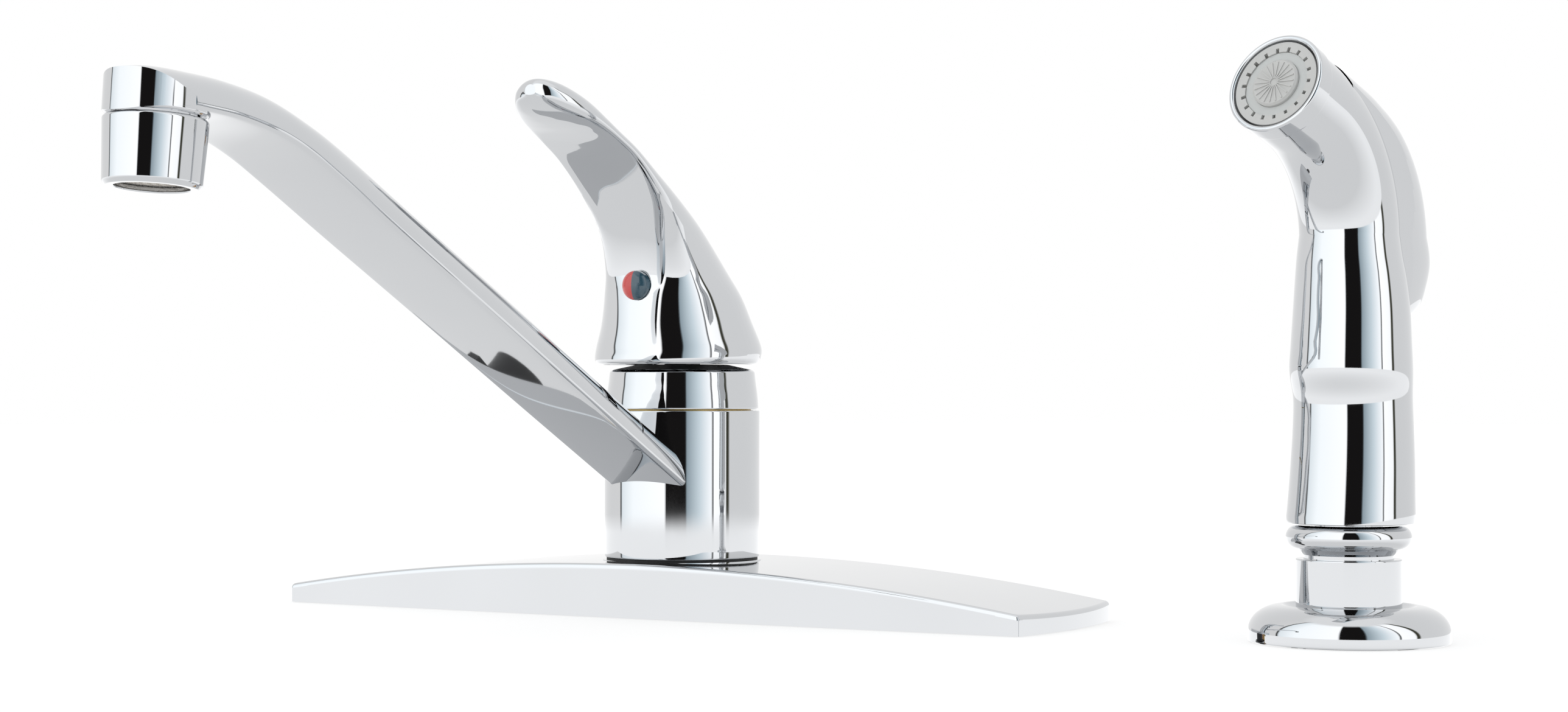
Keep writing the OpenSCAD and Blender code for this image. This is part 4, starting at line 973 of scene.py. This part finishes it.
def seen(made):
    """One where the ray comes from the camera, metal or glass"""
    path = made.node("ShaderNodeLightPath").outputs
    some = made.node("ShaderNodeMath", {0: path["Is Camera Ray"], 1: path["Is Glossy Ray"]},
                     operation="MAXIMUM").outputs[0]
    return made.node("ShaderNodeMath", {0: some, 1: path["Is Transmission Ray"]},
                     operation="MAXIMUM").outputs[0]


# The tent of white cloth and black cards round the table: direction in degrees and brightness
TENT = [
    (-180, (1.0, 1.0, 1.0)), (-100, (1.0, 0.995, 0.99)), (-72.2, (1.05, 1.04, 1.03)),
    (-71.6, (0.02, 0.02, 0.02)), (-69.4, (0.02, 0.02, 0.02)), (-68.6, (1.2, 1.28, 1.32)),
    (-45, (1.55, 1.6, 1.62)), (6.5, (1.7, 1.7, 1.7)), (8, (0.012, 0.011, 0.011)),
    (37.5, (0.012, 0.011, 0.011)), (39, (0.42, 0.52, 0.58)), (58, (0.95, 1.08, 1.15)),
    (76.8, (1.6, 1.62, 1.64)), (77.6, (0.05, 0.05, 0.05)), (79.2, (0.05, 0.05, 0.05)), (80, (1.7, 1.7, 1.7)),
    (99.5, (1.6, 1.6, 1.6)), (100.5, (0.07, 0.07, 0.05)), (105, (0.07, 0.07, 0.05)), (106.5, (1.0, 1.0, 1.0)),
    (180, (1.0, 1.0, 1.0)),
]


# Above and below the cards: elevation in degrees where each layer starts and is full, and its brightness
LAYERS = [(60, 68, 1.15), (-2.45, -2.8, 1.34), (-8, -30, 1.0)]


def light_tent(world):
    """Lights the world by direction, and shows the camera plain white"""
    world.use_nodes = True
    tree = world.node_tree
    tree.nodes.clear()

    def node(kind, links=None, values=None, **settings):
        made = tree.nodes.new(kind)
        for name, value in settings.items():
            setattr(made, name, value)
        for name, value in (values or {}).items():
            made.inputs[name].default_value = value
        for name, source in (links or {}).items():
            tree.links.new(source, made.inputs[name])
        return made

    place = node("ShaderNodeTexCoord").outputs["Object"]
    apart = node("ShaderNodeSeparateXYZ", {"Vector": place}).outputs
    back = node("ShaderNodeMath", {0: apart["Y"]}, {1: -1.0}, operation="MULTIPLY").outputs[0]
    around = node("ShaderNodeMath", {0: apart["X"], 1: back}, operation="ARCTAN2").outputs[0]
    spot = node("ShaderNodeMapRange", {"Value": around}, {
        "From Min": -math.pi, "From Max": math.pi, "To Min": 0.0, "To Max": 1.0}).outputs["Result"]
    ramp = node("ShaderNodeValToRGB", {"Fac": spot})
    ramp.color_ramp.interpolation = "LINEAR"
    stops = ramp.color_ramp.elements
    while len(stops) < len(TENT):
        stops.new(0.5)
    for stop, (degrees, _) in zip(stops, TENT):
        stop.position = (degrees + 180) / 360
    for stop, (_, value) in zip(stops, TENT):
        stop.color = (*value, 1)
    light = ramp.outputs["Color"]
    for start, stop, value in LAYERS:
        part = node("ShaderNodeMapRange", {"Value": apart["Z"]}, {
            "From Min": math.sin(math.radians(start)), "From Max": math.sin(math.radians(stop)),
            "To Min": 0.0, "To Max": 1.0}).outputs["Result"]
        mix = node("ShaderNodeMix", {"Factor": part}, data_type="RGBA")
        sockets = [x for x in mix.inputs if x.type == "RGBA"]
        tree.links.new(light, sockets[0])
        sockets[1].default_value = (value, value, value, 1)
        light = next(x for x in mix.outputs if x.type == "RGBA")
    cloth = node("ShaderNodeBackground", {"Color": light}, {"Strength": 1.0})
    plain = node("ShaderNodeBackground", values={"Color": (1, 1, 1, 1), "Strength": 1.0})
    path = node("ShaderNodeLightPath").outputs
    both = node("ShaderNodeMixShader", {0: path["Is Camera Ray"], 1: cloth.outputs[0], 2: plain.outputs[0]})
    out = node("ShaderNodeOutputWorld", {"Surface": both.outputs[0]})
    tree.nodes.active = out


makers = (MakeFinishes, MakePlate, MakeSpout, MakeAerator, MakeCap, MakeHandle, MakeButton, MakeHolder,
          MakeCoupling, MakeSpray, MakeTrigger, MakeStage)
groups = {"faucet_looks": FaucetLooks, "faucet_body": FaucetBody, "faucet_spray": FaucetSpray}


class FaucetPanel(bpy.types.Panel):
    """Lists the sizes, the colours and the steps that make the faucet"""

    bl_idname = "VIEW3D_PT_faucet"
    bl_label = "Kitchen faucet"
    bl_space_type = "VIEW_3D"
    bl_region_type = "UI"
    bl_category = "Faucet"

    def draw(self, context):
        for name, group in groups.items():
            box = self.layout.box()
            box.label(text=group.__doc__)
            for prop in group.__annotations__:
                box.prop(getattr(context.scene, name), prop)
        for maker in makers:
            self.layout.operator(maker.bl_idname)


def register():
    for group in groups.values():
        bpy.utils.register_class(group)
    for maker in makers:
        bpy.utils.register_class(maker)
    bpy.utils.register_class(FaucetPanel)
    for name, group in groups.items():
        setattr(bpy.types.Scene, name, bpy.props.PointerProperty(type=group))


def unregister():
    for name in groups:
        delattr(bpy.types.Scene, name)
    bpy.utils.unregister_class(FaucetPanel)
    for maker in reversed(makers):
        bpy.utils.unregister_class(maker)
    for group in groups.values():
        bpy.utils.unregister_class(group)


def main():
    register()
    bpy.ops.faucet.finishes()
    bpy.ops.faucet.plate()
    bpy.ops.faucet.spout()
    bpy.ops.faucet.aerator()
    bpy.ops.faucet.cap()
    bpy.ops.faucet.handle()
    bpy.ops.faucet.button()
    bpy.ops.faucet.holder()
    bpy.ops.faucet.coupling()
    bpy.ops.faucet.spray()
    bpy.ops.faucet.trigger()
    bpy.ops.faucet.stage()


if __name__ == "__main__":
    main()
